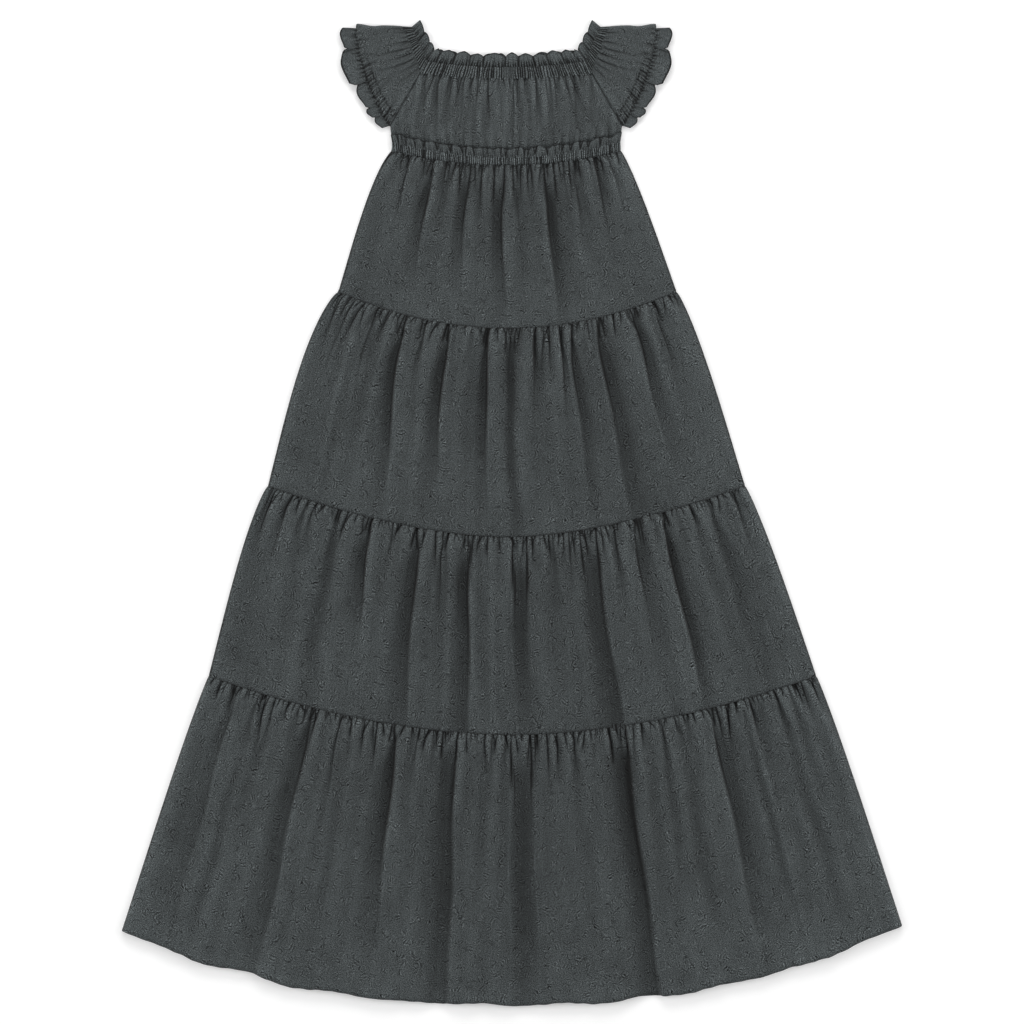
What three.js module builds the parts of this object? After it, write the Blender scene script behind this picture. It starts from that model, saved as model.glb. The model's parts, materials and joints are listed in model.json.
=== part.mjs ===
// A child's tiered midi dress with raglan cap sleeves, laid flat on its back.
// Millimetres. +Z is up from the surface it lies on, +Y runs towards the neck,
// +X towards the wearer's left. The origin is at the bottom centre of the whole dress.

import * as THREE from 'three';

// ---- Driving dimensions ----

const WIDTH = 740;        // across the hem
const LENGTH = 935.8;     // from the tips of the neck frill to the middle of the hem
const AXIS = -5.6;        // the bodice lies this far off the middle of the hem
const CLOTH = 1.4;        // wall of one layer of cloth
const ELASTIC = 1.9;      // wall of a casing with its elastic in it
const GAP = 0.3;          // between pieces, and between layers
const SEAM = 0.48;        // gap in plan at a curved seam, which keeps its facets 0.3 apart
const TRIM = 0.6;         // the same where a folded piece ends at a slanting seam
const LAYER = CLOTH + GAP;
const FRONT_RISE = 3.4;   // most that a fold of the front stands over the back
const BACK_RISE = 1.6;    // most that a fold of the back stands off the surface
const CASING_PUFF = 0.6;  // how far a casing bulges over its elastic
const FLUTE = 1.6;        // how far the flutes of a frill stand up

// ---- Seams that run across the dress, from the neck down ----
// x, y: the seam's middle; half: half its width; rise: how far its ends lie above
// the middle; bend: the power of its curve; tilt: how much more its +X end rises.

const SEAMS = {
  neckTop:     { x: AXIS, y: 422.8,       half: 75.7,      rise: 5.6,  bend: 2 },
  neckBottom:  { x: AXIS, y: 412.3,       half: 81.6,      rise: 5.0,  bend: 2 },
  waistTop:    { x: AXIS, y: 337.2,       half: 108.5,     rise: 14.8, bend: 2 },
  waistBottom: { x: AXIS, y: 329.6,       half: 108.3,     rise: 13.4, bend: 2 },
  first:       { x: -4.3, y: 174.3,       half: 160.1,     rise: 34.6, bend: 2 },
  second:      { x: -5.2, y: -24.2,       half: 226.1,     rise: 48.5, bend: 1.7 },
  third:       { x: 0.5,  y: -211.9,      half: 288.1,     rise: 55.6, bend: 1.85 },
  hem:         { x: 0,    y: -LENGTH / 2, half: WIDTH / 2, rise: 72.6, bend: 2.3, tilt: 2.4 },
};

// ---- The tiers and their largest folds ----
// bulge: how far a tier's sides flare beyond straight lines; lean: how far its middle
// swings towards -X. Each fold is a trough that presses the front down on the back.
// top, hem: its place across the panel (0 to 1) at the panel's top and bottom;
// width: half its width in mm; depth: 0 to 1; reach: how far down it runs, 0 to 1;
// back: how far the back panel lifts off the surface on the trough's +X side, 0 to 1.

const TIERS = [
  {
    name: 'tier_1', top: 'waistBottom', bottom: 'first', bulge: 4.4, lean: 1.4,
    folds: [
      { top: 0.095, hem: 0.100, width: 4, depth: 0.5, reach: 0.35, back: 0.4 },
      { top: 0.185, hem: 0.192, width: 7, depth: 0.9, reach: 0.75, back: 0.8 },
      { top: 0.330, hem: 0.335, width: 7, depth: 0.8, reach: 0.65, back: 0.5 },
      { top: 0.475, hem: 0.475, width: 7, depth: 0.9, reach: 0.85, back: 1.0 },
      { top: 0.685, hem: 0.665, width: 8, depth: 1.0, reach: 1.0,  back: 0.3 },
      { top: 0.800, hem: 0.775, width: 7, depth: 0.6, reach: 0.6,  back: 0.5 },
      { top: 0.890, hem: 0.872, width: 5, depth: 0.7, reach: 0.5,  back: 0 },
    ],
  },
  {
    name: 'tier_2', top: 'first', bottom: 'second', bulge: 8, lean: 3,
    folds: [
      { top: 0.130, hem: 0.140, width: 6,  depth: 0.5, reach: 0.4,  back: 0.5 },
      { top: 0.205, hem: 0.225, width: 9,  depth: 1.0, reach: 1.0,  back: 0.8 },
      { top: 0.327, hem: 0.330, width: 9,  depth: 1.0, reach: 0.7,  back: 1.0 },
      { top: 0.440, hem: 0.448, width: 8,  depth: 0.9, reach: 0.85, back: 0 },
      { top: 0.517, hem: 0.520, width: 9,  depth: 0.8, reach: 1.0,  back: 0.9 },
      { top: 0.660, hem: 0.665, width: 7,  depth: 0.7, reach: 0.6,  back: 0.6 },
      { top: 0.775, hem: 0.777, width: 10, depth: 1.0, reach: 1.0,  back: 0.8 },
      { top: 0.875, hem: 0.882, width: 8,  depth: 0.6, reach: 0.6,  back: 0 },
    ],
  },
  {
    name: 'tier_3', top: 'second', bottom: 'third', bulge: 4.6, lean: 1.2,
    folds: [
      { top: 0.155, hem: 0.155, width: 10, depth: 0.7, reach: 1.0,  back: 0.3 },
      { top: 0.215, hem: 0.220, width: 9,  depth: 0.9, reach: 0.45, back: 0.9 },
      { top: 0.315, hem: 0.305, width: 11, depth: 1.0, reach: 1.0,  back: 0.8 },
      { top: 0.420, hem: 0.415, width: 10, depth: 1.0, reach: 1.0,  back: 0.6 },
      { top: 0.525, hem: 0.520, width: 14, depth: 0.9, reach: 1.0,  back: 1.0 },
      { top: 0.667, hem: 0.665, width: 16, depth: 1.0, reach: 1.0,  back: 0.5 },
      { top: 0.770, hem: 0.760, width: 9,  depth: 0.7, reach: 0.45, back: 0.2 },
      { top: 0.832, hem: 0.830, width: 11, depth: 1.0, reach: 1.0,  back: 0.7 },
      { top: 0.920, hem: 0.925, width: 9,  depth: 0.5, reach: 0.9,  back: 0 },
    ],
  },
  {
    name: 'tier_4', top: 'third', bottom: 'hem', bulge: 2.4, lean: 0,
    folds: [
      { top: 0.045, hem: 0.045, width: 10, depth: 0.4, reach: 1.0,  back: 0.7 },
      { top: 0.165, hem: 0.160, width: 12, depth: 0.6, reach: 1.0,  back: 1.0 },
      { top: 0.302, hem: 0.302, width: 14, depth: 1.0, reach: 1.0,  back: 0.4 },
      { top: 0.395, hem: 0.400, width: 16, depth: 1.0, reach: 1.0,  back: 0.8 },
      { top: 0.512, hem: 0.515, width: 16, depth: 0.8, reach: 0.95, back: 1.0 },
      { top: 0.667, hem: 0.675, width: 19, depth: 1.0, reach: 1.0,  back: 0.9 },
      { top: 0.835, hem: 0.842, width: 14, depth: 0.8, reach: 1.0,  back: 0.5 },
      { top: 0.930, hem: 0.935, width: 12, depth: 0.5, reach: 1.0,  back: 0 },
    ],
  },
];

// Rows of a tier, from its gathered top edge to its bottom edge: v is the place down the
// panel, full how much of their height the folds have there.
const TIER_ROWS = [
  { v: 0, full: 0.35 },
  { v: 0.08, full: 1 },
  { v: 0.35, full: 1 },
  { v: 0.7, full: 0.85 },
  { v: 1, full: 0.6 },
];
const HEM_ROWS = TIER_ROWS.map((row) => ({ ...row, full: row.v > 0.5 ? 1 : row.full }));

// ---- The bodice: folds that hang from the gathered neck, in the same columns ----

const BODICE_FOLDS = [
  { top: 0.10, hem: 0.20, width: 4, depth: 0.8, reach: 0.8, back: 0.6 },
  { top: 0.39, hem: 0.42, width: 4, depth: 0.9, reach: 0.7, back: 0.9 },
  { top: 0.675, hem: 0.63, width: 4, depth: 0.8, reach: 0.7, back: 0.6 },
  { top: 0.89, hem: 0.79, width: 4, depth: 0.8, reach: 0.8, back: 0 },
];

// lift: layers that the bodice climbs where the waist heading lies under and over it.
const BODICE_ROWS = [
  { v: 0, full: 0.35, lift: 0 },
  { v: 0.12, full: 1, lift: 0 },
  { v: 0.45, full: 0.9, lift: 0 },
  { v: 0.76, full: 0.5, lift: 0 },
  { v: 0.85, full: 0, lift: 1 },
  { v: 1, full: 0, lift: 1 },
];
const UNDERARM = 0.76;        // place down the bodice where the sleeve seam ends
const UNDERARM_HALF = 109.8;  // half the bodice's width there

// ---- The sleeve, for the +X side, measured from the bodice's axis ----

const SLEEVE = {
  neckCorner: [75.7, 428.4],     // neck edge of the casing, at the front sleeve seam
  neckFold: [89.9, 461.2],       // neck edge of the casing, at the fold on the shoulder
  casingCorner: [81.6, 417.3],   // the casing's other edge, at the seam
  casingFold: [98.9, 461.7],     // and at the fold
  hemFold: [141.2, 464.1],       // the sleeve's hem at the fold
  underarm: [109.8, 367.7],      // and at the underarm
  hemBulge: 8,                   // how far the hem curves out between the two
  puff: 2.2,                     // how far its front rises over its back
  frillTip: [81.8, LENGTH / 2],  // the neck frill's free edge at the fold
  frillMitre: [67.6, 440.5],     // and where it meets the frill of the neckline
};

// ---- Frills ----
// height: from the seam to the free edge; flutes: how many small waves; scallop: how
// much shorter the frill is between flutes; under: what it lies on in front.

const NECK_FRILL = { height: 12.2, flutes: 12, scallop: 1.5, under: ELASTIC + GAP };
const WAIST_FRILL = { height: 8.5, flutes: 18, scallop: 1.2, under: 3 * LAYER };
const CUFF_FRILL = { height: 15, flutes: 5, scallop: 1.5, swell: 0.28, taper: 0.85 };
const SIDE_FLUTES = 3;           // of the neck frill, on each layer of a sleeve

// ---- Small helpers ----

const mix = (a, b, t) => a + (b - a) * t;
const mixPoint = (p, q, t) => [mix(p[0], q[0], t), mix(p[1], q[1], t)];
const between = (count) => Array.from({ length: count + 1 }, (_, i) => i / count);
const distance = (p, q) => Math.hypot(p[0] - q[0], p[1] - q[1]);

function onSeam(seam, u) {
  const t = 2 * u - 1;
  const curve = seam.rise * Math.abs(t) ** seam.bend;
  return [seam.x + seam.half * t, seam.y + curve + (seam.tilt ?? 0) * t * Math.abs(t)];
}

// ---- Solids ----

// A closed wall from two skins, each a grid of points with the same rows and columns,
// joined round their four edges. Its faces are turned to point out.
function wall(outer, inner) {
  const rows = outer.length;
  const columns = outer[0].length;
  const positions = [...outer, ...inner].flat(2);
  const at = (row, column, skin) => (skin * rows + row) * columns + column;
  const triangles = [];
  const quad = (a, b, c, d) => triangles.push([a, b, c], [c, b, d]);
  for (let r = 0; r + 1 < rows; r += 1) {
    for (let c = 0; c + 1 < columns; c += 1) {
      quad(at(r, c, 0), at(r + 1, c, 0), at(r, c + 1, 0), at(r + 1, c + 1, 0));
      quad(at(r, c, 1), at(r, c + 1, 1), at(r + 1, c, 1), at(r + 1, c + 1, 1));
    }
  }
  for (let c = 0; c + 1 < columns; c += 1) {
    quad(at(0, c, 0), at(0, c + 1, 0), at(0, c, 1), at(0, c + 1, 1));
    quad(at(rows - 1, c, 0), at(rows - 1, c, 1), at(rows - 1, c + 1, 0), at(rows - 1, c + 1, 1));
  }
  const end = columns - 1;
  for (let r = 0; r + 1 < rows; r += 1) {
    quad(at(r, 0, 0), at(r, 0, 1), at(r + 1, 0, 0), at(r + 1, 0, 1));
    quad(at(r, end, 0), at(r + 1, end, 0), at(r, end, 1), at(r + 1, end, 1));
  }
  const volume = triangles.reduce((sum, [a, b, c]) => {
    const [p, q, s] = [a, b, c].map((k) => new THREE.Vector3().fromArray(positions, 3 * k));
    return sum + p.dot(q.cross(s));
  }, 0);
  const facingOut = volume > 0 ? triangles : triangles.map(([a, b, c]) => [a, c, b]);
  const geometry = new THREE.BufferGeometry();
  geometry.setAttribute('position', new THREE.Float32BufferAttribute(positions, 3));
  geometry.setIndex(facingOut.flat());
  geometry.computeVertexNormals();
  return geometry;
}

// One flat-laid layer: plan(row, column) gives x and y, under(row, column) the height of
// its lower skin.
function layer(rows, columns, plan, under, thickness) {
  const skin = (raised) => rows.map((row) => columns.map((column) => {
    const [x, y] = plan(row, column);
    return [x, y, under(row, column) + raised(row)];
  }));
  const top = typeof thickness === 'function' ? thickness : () => thickness;
  return wall(skin(top), skin(() => 0));
}

// A piece folded over at the shoulder, front on back, as one wall. plan(a, b) gives x and
// y, with a across the piece and b from the fold (0) to its ends (1); rise(a, b) is how
// far the front's lower skin stands over a flat piece's.
function folded(side, plan, stations, steps, thickness, rise) {
  const middle = thickness / 2;
  const radius = middle + GAP;          // of the wall's middle line round the fold
  const outside = radius + middle;
  const angles = [0.5, 0.25, 0, -0.25, -0.5].map((turn) => turn * Math.PI);
  const section = (a, offset) => {
    const span = distance(plan(a, 0), plan(a, 1));
    const inset = outside / span;
    const centre = plan(a, inset);
    const tip = plan(a, 0);
    const reach = distance(tip, centre);
    const out = [(tip[0] - centre[0]) / reach, (tip[1] - centre[1]) / reach];
    const flat = (b, z) => [...plan(a, mix(inset, 1 - TRIM / span, b)), z];
    const lift = (b) => rise(a, b) * Math.min(1, 4 * b);
    const front = [...steps].reverse().map((b) => flat(b, outside + radius + lift(b) + offset));
    const back = steps.map((b) => flat(b, middle - offset));
    const bend = angles.map((angle) => {
      const r = radius + offset;
      return [centre[0] + out[0] * r * Math.cos(angle), centre[1] + out[1] * r * Math.cos(angle),
        outside + r * Math.sin(angle)];
    });
    return [...front, ...bend, ...back].map(([x, y, z]) => [AXIS + side * x, y, z]);
  };
  return wall(stations.map((a) => section(a, middle)), stations.map((a) => section(a, -middle)));
}

// ---- Panels: front and back share their grid, so the front lies on the back ----

// The columns of a panel run down the middle and both edges of each trough, down the
// middle of each ridge between two troughs, and along the panel's sides.
function panelColumns(folds, topWidth, bottomWidth) {
  const troughs = folds.flatMap((fold) => [-1, 0, 1].map((edge) => ({
    top: fold.top + edge * fold.width / topWidth,
    hem: fold.hem + edge * fold.width / bottomWidth,
    back: 0,
  })));
  const stops = [{ top: 0, hem: 0, back: 0 }, ...folds, { top: 1, hem: 1 }];
  const ridges = stops.slice(1).map((stop, i) => ({
    top: (stops[i].top + stop.top) / 2,
    hem: (stops[i].hem + stop.hem) / 2,
    back: stops[i].back,
  }));
  const sides = [{ top: 0, hem: 0, back: 0 }, { top: 1, hem: 1, back: 0 }];
  return [...troughs, ...ridges, ...sides].sort((p, q) => p.top - q.top);
}

// How high the front stands at a column and row: full on a ridge, less in a trough and
// nothing at the panel's sides.
function ridgeHeight(folds, width, column, row) {
  const u = mix(column.top, column.hem, row.v);
  const pressed = folds.reduce((sum, fold) => {
    const across = Math.abs(u - mix(fold.top, fold.hem, row.v)) * width / fold.width;
    const fade = Math.min(1, Math.max(0, 1 + 2 * (fold.reach - row.v)));
    return sum + fold.depth * fade * Math.max(0, 1 - across);
  }, 0);
  const sides = Math.min(1, 12 * u, 12 * (1 - u));
  return row.full * sides * (1 - Math.min(1, pressed));
}

function panelPair(name, rows, folds, topWidth, bottomWidth, plan) {
  const columns = panelColumns(folds, topWidth, bottomWidth);
  const lift = (row) => (row.lift ?? 0) * LAYER;
  const backUnder = (row, column) => lift(row) + BACK_RISE * row.full * column.back;
  const frontUnder = (row, column) => LAYER + backUnder(row, column)
    + FRONT_RISE * ridgeHeight(folds, mix(topWidth, bottomWidth, row.v), column, row);
  return [
    piece(`${name}_front`, layer(rows, columns, plan, frontUnder, CLOTH)),
    piece(`${name}_back`, layer(rows, columns, plan, backUnder, CLOTH)),
  ];
}

function tier({ name, top, bottom, bulge, lean, folds }) {
  const [upper, lower] = [SEAMS[top], SEAMS[bottom]];
  const isHem = bottom === 'hem';
  const plan = (row, column) => {
    const u = mix(column.top, column.hem, row.v);
    const t = 2 * u - 1;
    const [x0, y0] = onSeam(upper, u);
    const [x1, y1] = onSeam(lower, u);
    const swell = Math.sin(Math.PI * row.v ** 0.6);
    const out = swell * (bulge * Math.sign(t) * Math.abs(t) ** 3 - lean);
    const gathered = y0 - SEAM / 2;
    const sewn = isHem ? y1 : y1 + SEAM / 2;
    return [mix(x0, x1, row.v) + out, mix(gathered, sewn, row.v)];
  };
  return panelPair(name, isHem ? HEM_ROWS : TIER_ROWS, folds, 2 * upper.half, 2 * lower.half, plan);
}

function bodice() {
  const [upper, lower] = [SEAMS.neckBottom, SEAMS.waistTop];
  const plan = (row, column) => {
    const u = mix(column.top, column.hem, row.v);
    const half = row.v < UNDERARM
      ? mix(upper.half, UNDERARM_HALF, row.v / UNDERARM)
      : mix(UNDERARM_HALF, lower.half, (row.v - UNDERARM) / (1 - UNDERARM));
    const y = mix(onSeam(upper, u)[1] - SEAM / 2, onSeam(lower, u)[1] + SEAM / 2, row.v);
    return [AXIS + half * (2 * u - 1), y];
  };
  return panelPair('bodice', BODICE_ROWS, BODICE_FOLDS, 2 * upper.half, 2 * lower.half, plan);
}

// ---- Casings and frills across the body ----

function casingPair(name, upper, lower, count) {
  const rows = [{ v: 0, puff: 0 }, { v: 0.5, puff: CASING_PUFF }, { v: 1, puff: 0 }];
  const plan = (row, u) => mixPoint(
    [onSeam(upper, u)[0], onSeam(upper, u)[1] - SEAM / 2],
    [onSeam(lower, u)[0], onSeam(lower, u)[1] + SEAM / 2],
    row.v,
  );
  const front = layer(rows, between(count), plan, () => ELASTIC + GAP, (row) => ELASTIC + row.puff);
  const back = layer(rows, between(count), plan, () => 0, ELASTIC);
  return [piece(`${name}_front`, front), piece(`${name}_back`, back)];
}

// Frills that stand up from a seam in small flutes, one lying in front and a flat one at
// the back: two columns to a flute, one on its crest and one between crests.
function frillPair(name, seam, freeHalf, { height, flutes, scallop, under }) {
  const columns = between(2 * flutes).map((u, i) => ({ u, crest: i % 2 }));
  const plan = (v, { u, crest }) => {
    const [x, y] = onSeam(seam, u);
    const free = seam.x + freeHalf * (2 * u - 1);
    return [mix(x, free, v), y + SEAM / 2 + v * (height - scallop * (1 - crest))];
  };
  const fluted = (v, { crest }) => under + FLUTE * crest * mix(0.4, 1, v);
  return [
    piece(`${name}_front`, layer([1, 0], columns, plan, fluted, CLOTH)),
    piece(`${name}_back`, layer([1, 0], columns, plan, () => 0, CLOTH)),
  ];
}

// ---- Sleeves, with their casings and frills, folded over at the shoulder ----

function sleeve(side, name) {
  const s = SLEEVE;
  const hem = (b) => {
    const [x, y] = mixPoint(s.hemFold, s.underarm, b);
    return [x + s.hemBulge * (4 * b * (1 - b)) ** 0.8, y];
  };
  const [out, up] = [s.hemFold[1] - s.underarm[1], s.underarm[0] - s.hemFold[0]]
    .map((part) => part / distance(s.hemFold, s.underarm));
  const shift = (p, by) => [p[0] + by * out, p[1] + by * up];

  const body = (a, b) => mixPoint(
    shift(mixPoint(s.casingFold, s.casingCorner, b), GAP / 2),
    shift(hem(b), -GAP / 2),
    a,
  );
  const puff = (a, b) => s.puff * Math.sin(Math.PI * b) * mix(0.5, 1, a);

  const casing = (a, b) => mixPoint(
    shift(mixPoint(s.neckFold, s.neckCorner, b), GAP / 2),
    shift(mixPoint(s.casingFold, s.casingCorner, b), -GAP / 2),
    a,
  );

  const neckFrill = (a, b) => mixPoint(
    shift(mixPoint(s.neckFold, s.neckCorner, b), -GAP / 2),
    mixPoint(s.frillTip, s.frillMitre, b),
    a,
  );
  const fluted = (count) => (a, b) => FLUTE * a * Math.sin(count * Math.PI * b) ** 2;

  const cuff = CUFF_FRILL;
  const cuffWidth = (b) => cuff.height * (mix(1, cuff.taper, b) + cuff.swell * Math.sin(Math.PI * b))
    - cuff.scallop * Math.cos(cuff.flutes * Math.PI * b) ** 2;
  const cuffFrill = (a, b) => shift(hem(b), GAP / 2 + a * cuffWidth(b));
  const steps = (flutes) => between(2 * flutes);

  return [
    piece(`sleeve_${name}`, folded(side, body, [0, 0.15, 0.5, 0.85, 1], between(5), CLOTH, puff)),
    piece(`neck_casing_${name}`, folded(side, casing, [0, 1], between(3), ELASTIC, () => 0)),
    piece(`neck_frill_${name}`,
      folded(side, neckFrill, [0, 1], steps(SIDE_FLUTES), CLOTH, fluted(SIDE_FLUTES))),
    piece(`sleeve_frill_${name}`,
      folded(side, cuffFrill, [0, 0.5, 1], steps(cuff.flutes), CLOTH, fluted(cuff.flutes))),
  ];
}

// ---- The dress ----

function piece(name, geometry) {
  const cloth = new THREE.MeshStandardMaterial({ color: 0x44484a, roughness: 0.9, metalness: 0 });
  const mesh = new THREE.Mesh(geometry, cloth);
  mesh.name = name;
  return mesh;
}

const dress = new THREE.Group();
dress.add(
  ...bodice(),
  ...casingPair('neck_casing', SEAMS.neckTop, SEAMS.neckBottom, 10),
  ...frillPair('neck_frill', SEAMS.neckTop, SLEEVE.frillMitre[0], NECK_FRILL),
  ...sleeve(1, 'left'),
  ...sleeve(-1, 'right'),
  ...casingPair('waist_casing', SEAMS.waistTop, SEAMS.waistBottom, 14),
  ...frillPair('waist_frill', SEAMS.waistTop, SEAMS.waistTop.half, WAIST_FRILL),
  ...TIERS.flatMap(tier),
);

export default dress;
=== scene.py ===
"""A child's tiered midi dress in crinkled charcoal cotton, laid flat on a pale floor.

The cloth is made here as thin shells on the frame's solids. Lengths in the tables are
millimetres, and every mesh is written in metres. "Under" and "over" mean nearer to and
further from the surface that the dress lies on.
"""

import json
import math
from collections import namedtuple
from functools import reduce
import bpy  # noqa: E402
import numpy as np  # noqa: E402
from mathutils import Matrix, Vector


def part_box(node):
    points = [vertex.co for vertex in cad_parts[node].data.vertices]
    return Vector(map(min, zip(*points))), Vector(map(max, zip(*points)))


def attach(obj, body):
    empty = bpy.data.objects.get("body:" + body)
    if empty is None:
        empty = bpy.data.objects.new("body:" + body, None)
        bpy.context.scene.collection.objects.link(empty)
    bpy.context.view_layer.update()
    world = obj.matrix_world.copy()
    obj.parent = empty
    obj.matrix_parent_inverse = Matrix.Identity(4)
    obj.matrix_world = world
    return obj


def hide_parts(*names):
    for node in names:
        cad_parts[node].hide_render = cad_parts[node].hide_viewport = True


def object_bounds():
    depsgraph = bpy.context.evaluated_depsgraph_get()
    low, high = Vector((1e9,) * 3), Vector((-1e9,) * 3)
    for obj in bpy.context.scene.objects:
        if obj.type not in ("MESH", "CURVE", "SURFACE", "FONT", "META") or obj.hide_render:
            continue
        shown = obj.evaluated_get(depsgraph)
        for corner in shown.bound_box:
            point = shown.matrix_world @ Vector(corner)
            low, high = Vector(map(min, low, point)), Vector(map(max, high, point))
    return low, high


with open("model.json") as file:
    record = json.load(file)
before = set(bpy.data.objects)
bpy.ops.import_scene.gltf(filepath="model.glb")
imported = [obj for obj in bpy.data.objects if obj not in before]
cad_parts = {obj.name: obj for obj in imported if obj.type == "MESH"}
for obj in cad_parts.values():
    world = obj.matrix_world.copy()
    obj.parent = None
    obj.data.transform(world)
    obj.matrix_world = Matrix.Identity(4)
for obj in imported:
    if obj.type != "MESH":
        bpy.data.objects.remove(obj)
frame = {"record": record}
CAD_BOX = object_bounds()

bl_info = {
    "name": "Tiered Midi Dress",
    "version": (1, 0, 0),
    "blender": (4, 5, 0),
    "location": "3D View > Sidebar > Dress",
    "description": "Makes a gathered, tiered child's dress that lies flat",
    "category": "Object",
}

MM = 0.001
CLOTH_SLOT = "cloth"
CLOTH_COLOUR = next(m for m in frame["record"]["materials"] if m["slot"] == CLOTH_SLOT)["base_color"]

# ---- Levels over the floor ----

CLEAR = 0.35            # least space between one layer and the next
FLOOR_GAP = 0.05        # least space between the lowest cloth and the floor
ALLOWANCE = 3.0         # how far a gathered edge runs on under the piece over it
SEAM_GAP = 0.48         # between the frame's solids at a seam
NECK_LEVEL = 2.4        # underside of the front at the neck
WAIST_LEVEL = 3.2       # underside of the bodice's front where it meets the waist
HEADING_LEVEL = 4.1     # underside of the heading over the waist
HEM_TURN = 10.0         # depth of the turned hem
MOST_SINK = 2.5         # how much deeper a shell's inner side may lie under a ridge

# ---- Seams, from the frame's boxes ----
# x, y: middle; half: half the width; rise: the ends over the middle; bend: the power of
# the curve; tilt: how much more the +X end rises.

Seam = namedtuple("Seam", "x y half rise bend tilt")
HEM_RISE = 72.6
HEM_TILT = 2.4


def low(node, axis):
    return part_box(node)[0][axis] / MM


def high(node, axis):
    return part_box(node)[1][axis] / MM


def seam(width_of, middle, ends, bend):
    """A seam as wide as one node, from its middle's height to its ends'."""
    left, right = low(width_of, 0), high(width_of, 0)
    return Seam((left + right) / 2, middle, (right - left) / 2, ends - middle, bend, 0)


def seam_under(node, beneath, width_of, bend):
    """The seam between a node and the one beneath it."""
    edge = SEAM_GAP / 2
    return seam(width_of, low(node, 1) - edge, high(beneath, 1) + edge, bend)


SEAMS = {
    "neck_top": seam_under("neck_frill_front", "neck_casing_front", "neck_frill_front", 2),
    "neck_bottom": seam_under("neck_casing_front", "bodice_front", "neck_casing_front", 2),
    "waist_top": seam_under("waist_frill_front", "waist_casing_front", "waist_casing_front", 2),
    "waist_bottom": seam_under("waist_casing_front", "tier_1_front", "waist_casing_front", 2),
    "first": seam_under("tier_1_front", "tier_2_front", "tier_1_front", 2),
    "second": seam_under("tier_2_front", "tier_3_front", "tier_2_front", 1.7),
    "third": seam_under("tier_3_front", "tier_4_front", "tier_3_front", 1.85),
    "hem": seam("tier_4_front", low("tier_4_front", 1), low("tier_4_front", 1) + HEM_RISE, 2.3)._replace(
        tilt=HEM_TILT
    ),
}
AXIS = SEAMS["waist_top"].x

# ---- Folds, listed one by one ----
# top, hem: place across the panel at its top and bottom, 0 to 1; half_top, half_hem: half
# the width of the trough there; depth: 0 to 1; reach: how far down it runs, 0 to 1;
# sharp: the side with the sharp edge, -1 or +1, or 0 for neither; tongue: how far a
# ridge runs down the middle of the trough before it sinks into it.

Fold = namedtuple("Fold", "top hem half_top half_hem depth reach sharp tongue")

TIER_1 = [
    Fold(0.095, 0.105, 1.3, 1.8, 0.60, 0.35, 1, 0),
    Fold(0.183, 0.195, 4.4, 6.0, 0.95, 0.85, 1, 12),
    Fold(0.262, 0.262, 2.6, 4.0, 0.35, 0.30, 0, 0),
    Fold(0.332, 0.336, 4.4, 6.5, 0.80, 0.80, 1, 22),
    Fold(0.402, 0.400, 2.6, 4.0, 0.40, 0.40, 0, 6),
    Fold(0.474, 0.475, 5.0, 7.0, 0.95, 1.05, 1, 26),
    Fold(0.562, 0.560, 3.2, 5.0, 0.50, 0.32, -1, 8),
    Fold(0.615, 0.610, 2.4, 4.0, 0.38, 0.25, 0, 0),
    Fold(0.687, 0.668, 5.0, 6.5, 1.00, 1.15, -1, 26),
    Fold(0.745, 0.735, 1.8, 3.0, 0.45, 0.20, 0, 0),
    Fold(0.800, 0.776, 4.0, 7.5, 0.58, 0.62, -1, 12),
    Fold(0.885, 0.866, 3.2, 5.0, 0.80, 0.40, -1, 6),
    Fold(0.945, 0.935, 2.8, 4.0, 0.45, 0.30, -1, 0),
]
TIER_2 = [
    Fold(0.048, 0.050, 3.0, 4.0, 0.60, 0.30, 1, 0),
    Fold(0.133, 0.142, 3.3, 6.0, 0.58, 0.36, -1, 8),
    Fold(0.200, 0.226, 4.0, 7.5, 1.00, 1.05, 1, 14),
    Fold(0.265, 0.262, 2.4, 4.0, 0.35, 0.25, 0, 0),
    Fold(0.326, 0.333, 4.2, 7.0, 1.00, 0.90, 1, 12),
    Fold(0.440, 0.450, 4.2, 6.2, 0.92, 0.95, 1, 12),
    Fold(0.513, 0.519, 4.4, 6.0, 0.80, 1.25, 0, 16),
    Fold(0.585, 0.585, 3.0, 6.0, 0.50, 0.30, -1, 0),
    Fold(0.662, 0.668, 3.0, 4.0, 0.85, 0.45, -1, 0),
    Fold(0.696, 0.704, 3.2, 9.0, 0.75, 1.05, -1, 0),
    Fold(0.774, 0.786, 4.6, 10.0, 1.00, 1.35, -1, 14),
    Fold(0.876, 0.886, 3.6, 8.5, 0.66, 0.95, -1, 8),
    Fold(0.928, 0.932, 1.6, 2.6, 0.50, 0.40, -1, 0),
]
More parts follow.
